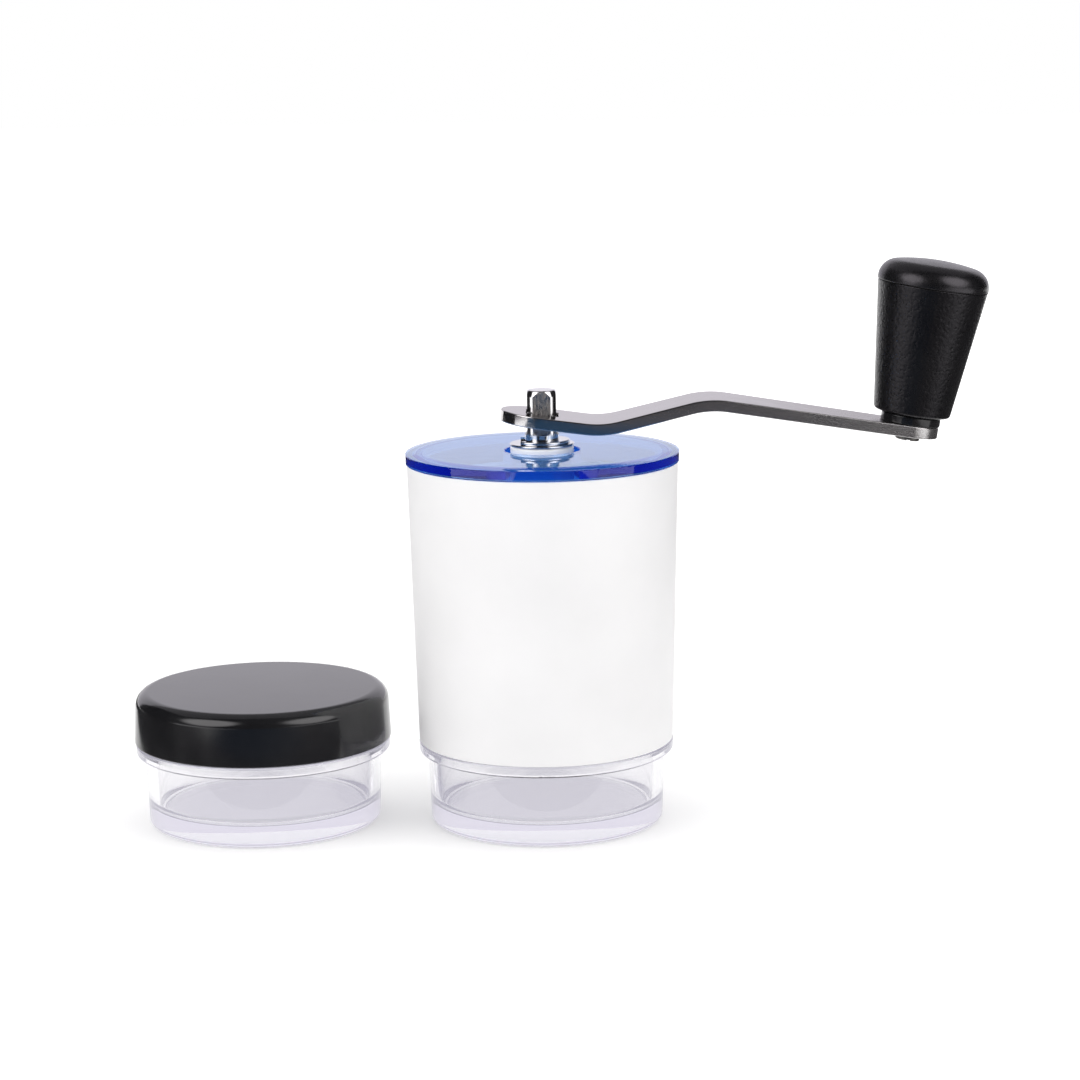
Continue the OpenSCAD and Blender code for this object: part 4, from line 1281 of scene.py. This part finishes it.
# %% Dark cards
CARD_TURN = (0.1, 0.12)
CARD_LOW = 0.002
ROOF = 1.6
ROOF_WIDTH = 4.4
WALL_FRONT = -1.6
WALL_SIDE = 1.5
UPRIGHT = (math.pi / 2, 0, 0)
SIDEWAYS = (0, math.pi / 2, 0)


def unlit_finish(name, **constants):
    """A finish that takes no light and only shows its own glow."""
    return new_finish(name, Base_Color=(0, 0, 0, 1), Roughness=1.0, Specular_IOR_Level=0.0, **constants)


def card_finish(name, left, right=None):
    """A card of one shade or of two, the same under any light. It doesn't show through plastic."""
    material, tree, shader = unlit_finish(name, Emission_Color=(*left, 1), Emission_Strength=1.0)
    if right:
        place = put(tree, "SeparateXYZ", Vector=own_place(tree))
        reach = ramped(tree, place.outputs["X"], *CARD_TURN)
        feed(tree, shader, Emission_Color=tinted(tree, reach, left, right))
    through_plastic = put(tree, "LightPath").outputs["Transmission Depth"]
    nothing = put(tree, "BsdfTransparent").outputs["BSDF"]
    surface = mixed(tree, through_plastic, shader.outputs["BSDF"], nothing)
    fill(tree, tree.nodes["Material Output"], "Surface", surface)
    return material


def mirrored_sheet(name, finish, width, length, place, turn=(0, 0, 0)):
    """A sheet that only mirroring surfaces see."""
    made = sheet(name, width, length, place, turn, finish)
    for ray in ("camera", "diffuse", "transmission", "volume_scatter", "shadow"):
        setattr(made, "visible_" + ray, False)


navy_card = card_finish("Navy card", left=(0.033, 0.078, 0.15), right=(0.15, 0.135, 0.135))
black_card = card_finish("Black card", left=(0.02, 0.02, 0.022), right=(0.024, 0.023, 0.025))
grey_card = card_finish("Grey card", left=(0.05, 0.049, 0.052), right=(0.1, 0.095, 0.1))
near_card = card_finish("Near card", (0.2, 0.195, 0.21))
roof_card = card_finish("Roof card", (0.34, 0.33, 0.35))
mirrored_sheet("card_front_floor", navy_card, width=0.68, length=1.4, place=(0.07, -0.9, CARD_LOW))
mirrored_sheet("card_near_floor", near_card, width=0.66, length=0.14, place=(-0.09, -0.13, CARD_LOW))
mirrored_sheet("card_far_floor", navy_card, width=1.03, length=0.82, place=(-0.785, -1.19, CARD_LOW))
mirrored_sheet(
    "card_low", navy_card, width=0.55, length=0.25, place=(-1.025, WALL_FRONT, 0.125), turn=UPRIGHT
)
mirrored_sheet(
    "card_front", black_card, width=1.6, length=1.6, place=(0.05, WALL_FRONT, 0.8), turn=UPRIGHT
)
mirrored_sheet("card_roof_front", black_card, width=ROOF_WIDTH, length=1.85, place=(0, -1.075, ROOF))
mirrored_sheet("card_roof_back", roof_card, width=ROOF_WIDTH, length=2.55, place=(0, 1.125, ROOF))
for name, side in (("left", -1), ("right", 1)):
    mirrored_sheet(
        "card_floor_" + name, grey_card, width=1.3, length=0.85, place=(side * 0.85, 0.3, CARD_LOW)
    )
    mirrored_sheet(
        "card_" + name, black_card, width=1.6, length=2.0, place=(side * WALL_SIDE, 0.68, 0.8),
        turn=SIDEWAYS,
    )
print("eleven dark cards")

# %% [markdown]
# ## Lights
# Two wide soft boxes stand far out left and right of the camera, which lights the round body
# evenly, and a third one hangs above for lid and floor. The black cap and knob show two soft
# patches. A lamp's own edge is hard, so the lamps don't show in mirrors. Next to each side lamp
# hangs a cloth whose glow fades from its middle, and that only mirroring surfaces see.

# %% Lights
AIM = (0, 0, 0.08)
LAMP_WHITE = (1.0, 0.978, 0.99)
GLOW_IN, GLOW_OUT = 0.45, 0.8
CLOTH = 1.6


def facing(place):
    """The turn that points a lamp or a cloth from its place to the mill."""
    return (Vector(AIM) - Vector(place)).to_track_quat("-Z", "Y").to_euler()


def soft_box(name, place, width, height, watts):
    """A rectangular area light that mirroring surfaces don't show."""
    lamp = bpy.data.lights.new(name, "AREA")
    lamp.shape = "RECTANGLE"
    lamp.size = width
    lamp.size_y = height
    lamp.energy = watts
    lamp.color = LAMP_WHITE
    light = bpy.data.objects.new(name, lamp)
    scene.collection.objects.link(light)
    light.location = place
    light.rotation_euler = facing(place)
    light.visible_glossy = False


def glow_finish(name, middle, strength):
    """Light that fades with the distance from a cloth's middle."""
    material, tree, shader = unlit_finish(name, Emission_Color=(*LAMP_WHITE, 1))
    away = put_math(tree, "VectorMath", "DISTANCE", own_place(tree), middle)["Value"]
    fade = put(
        tree, "MapRange", {"interpolation_type": "SMOOTHSTEP"}, Value=away,
        From_Min=GLOW_IN, From_Max=GLOW_OUT, To_Min=strength, To_Max=0.0,
    )
    feed(tree, shader, Emission_Strength=fade.outputs["Result"])
    return material


soft_box("top_box", place=(0, 0.25, 1.5), width=1.4, height=1.0, watts=4.5)
for name, side, watts, glow in (("left", -1, 7.6, 3.1), ("right", 1, 6.5, 3.0)):
    soft_box(name + "_box", place=(side * 1.11, -0.64, 0.6), width=1.25, height=0.95, watts=watts)
    cloth = (side * 1.0, -0.8, 0.82)
    cloth_glow = glow_finish(name + " glow", cloth, glow)
    mirrored_sheet(name + "_cloth", cloth_glow, CLOTH, CLOTH, cloth, facing(cloth))
print("three soft boxes and two cloths")
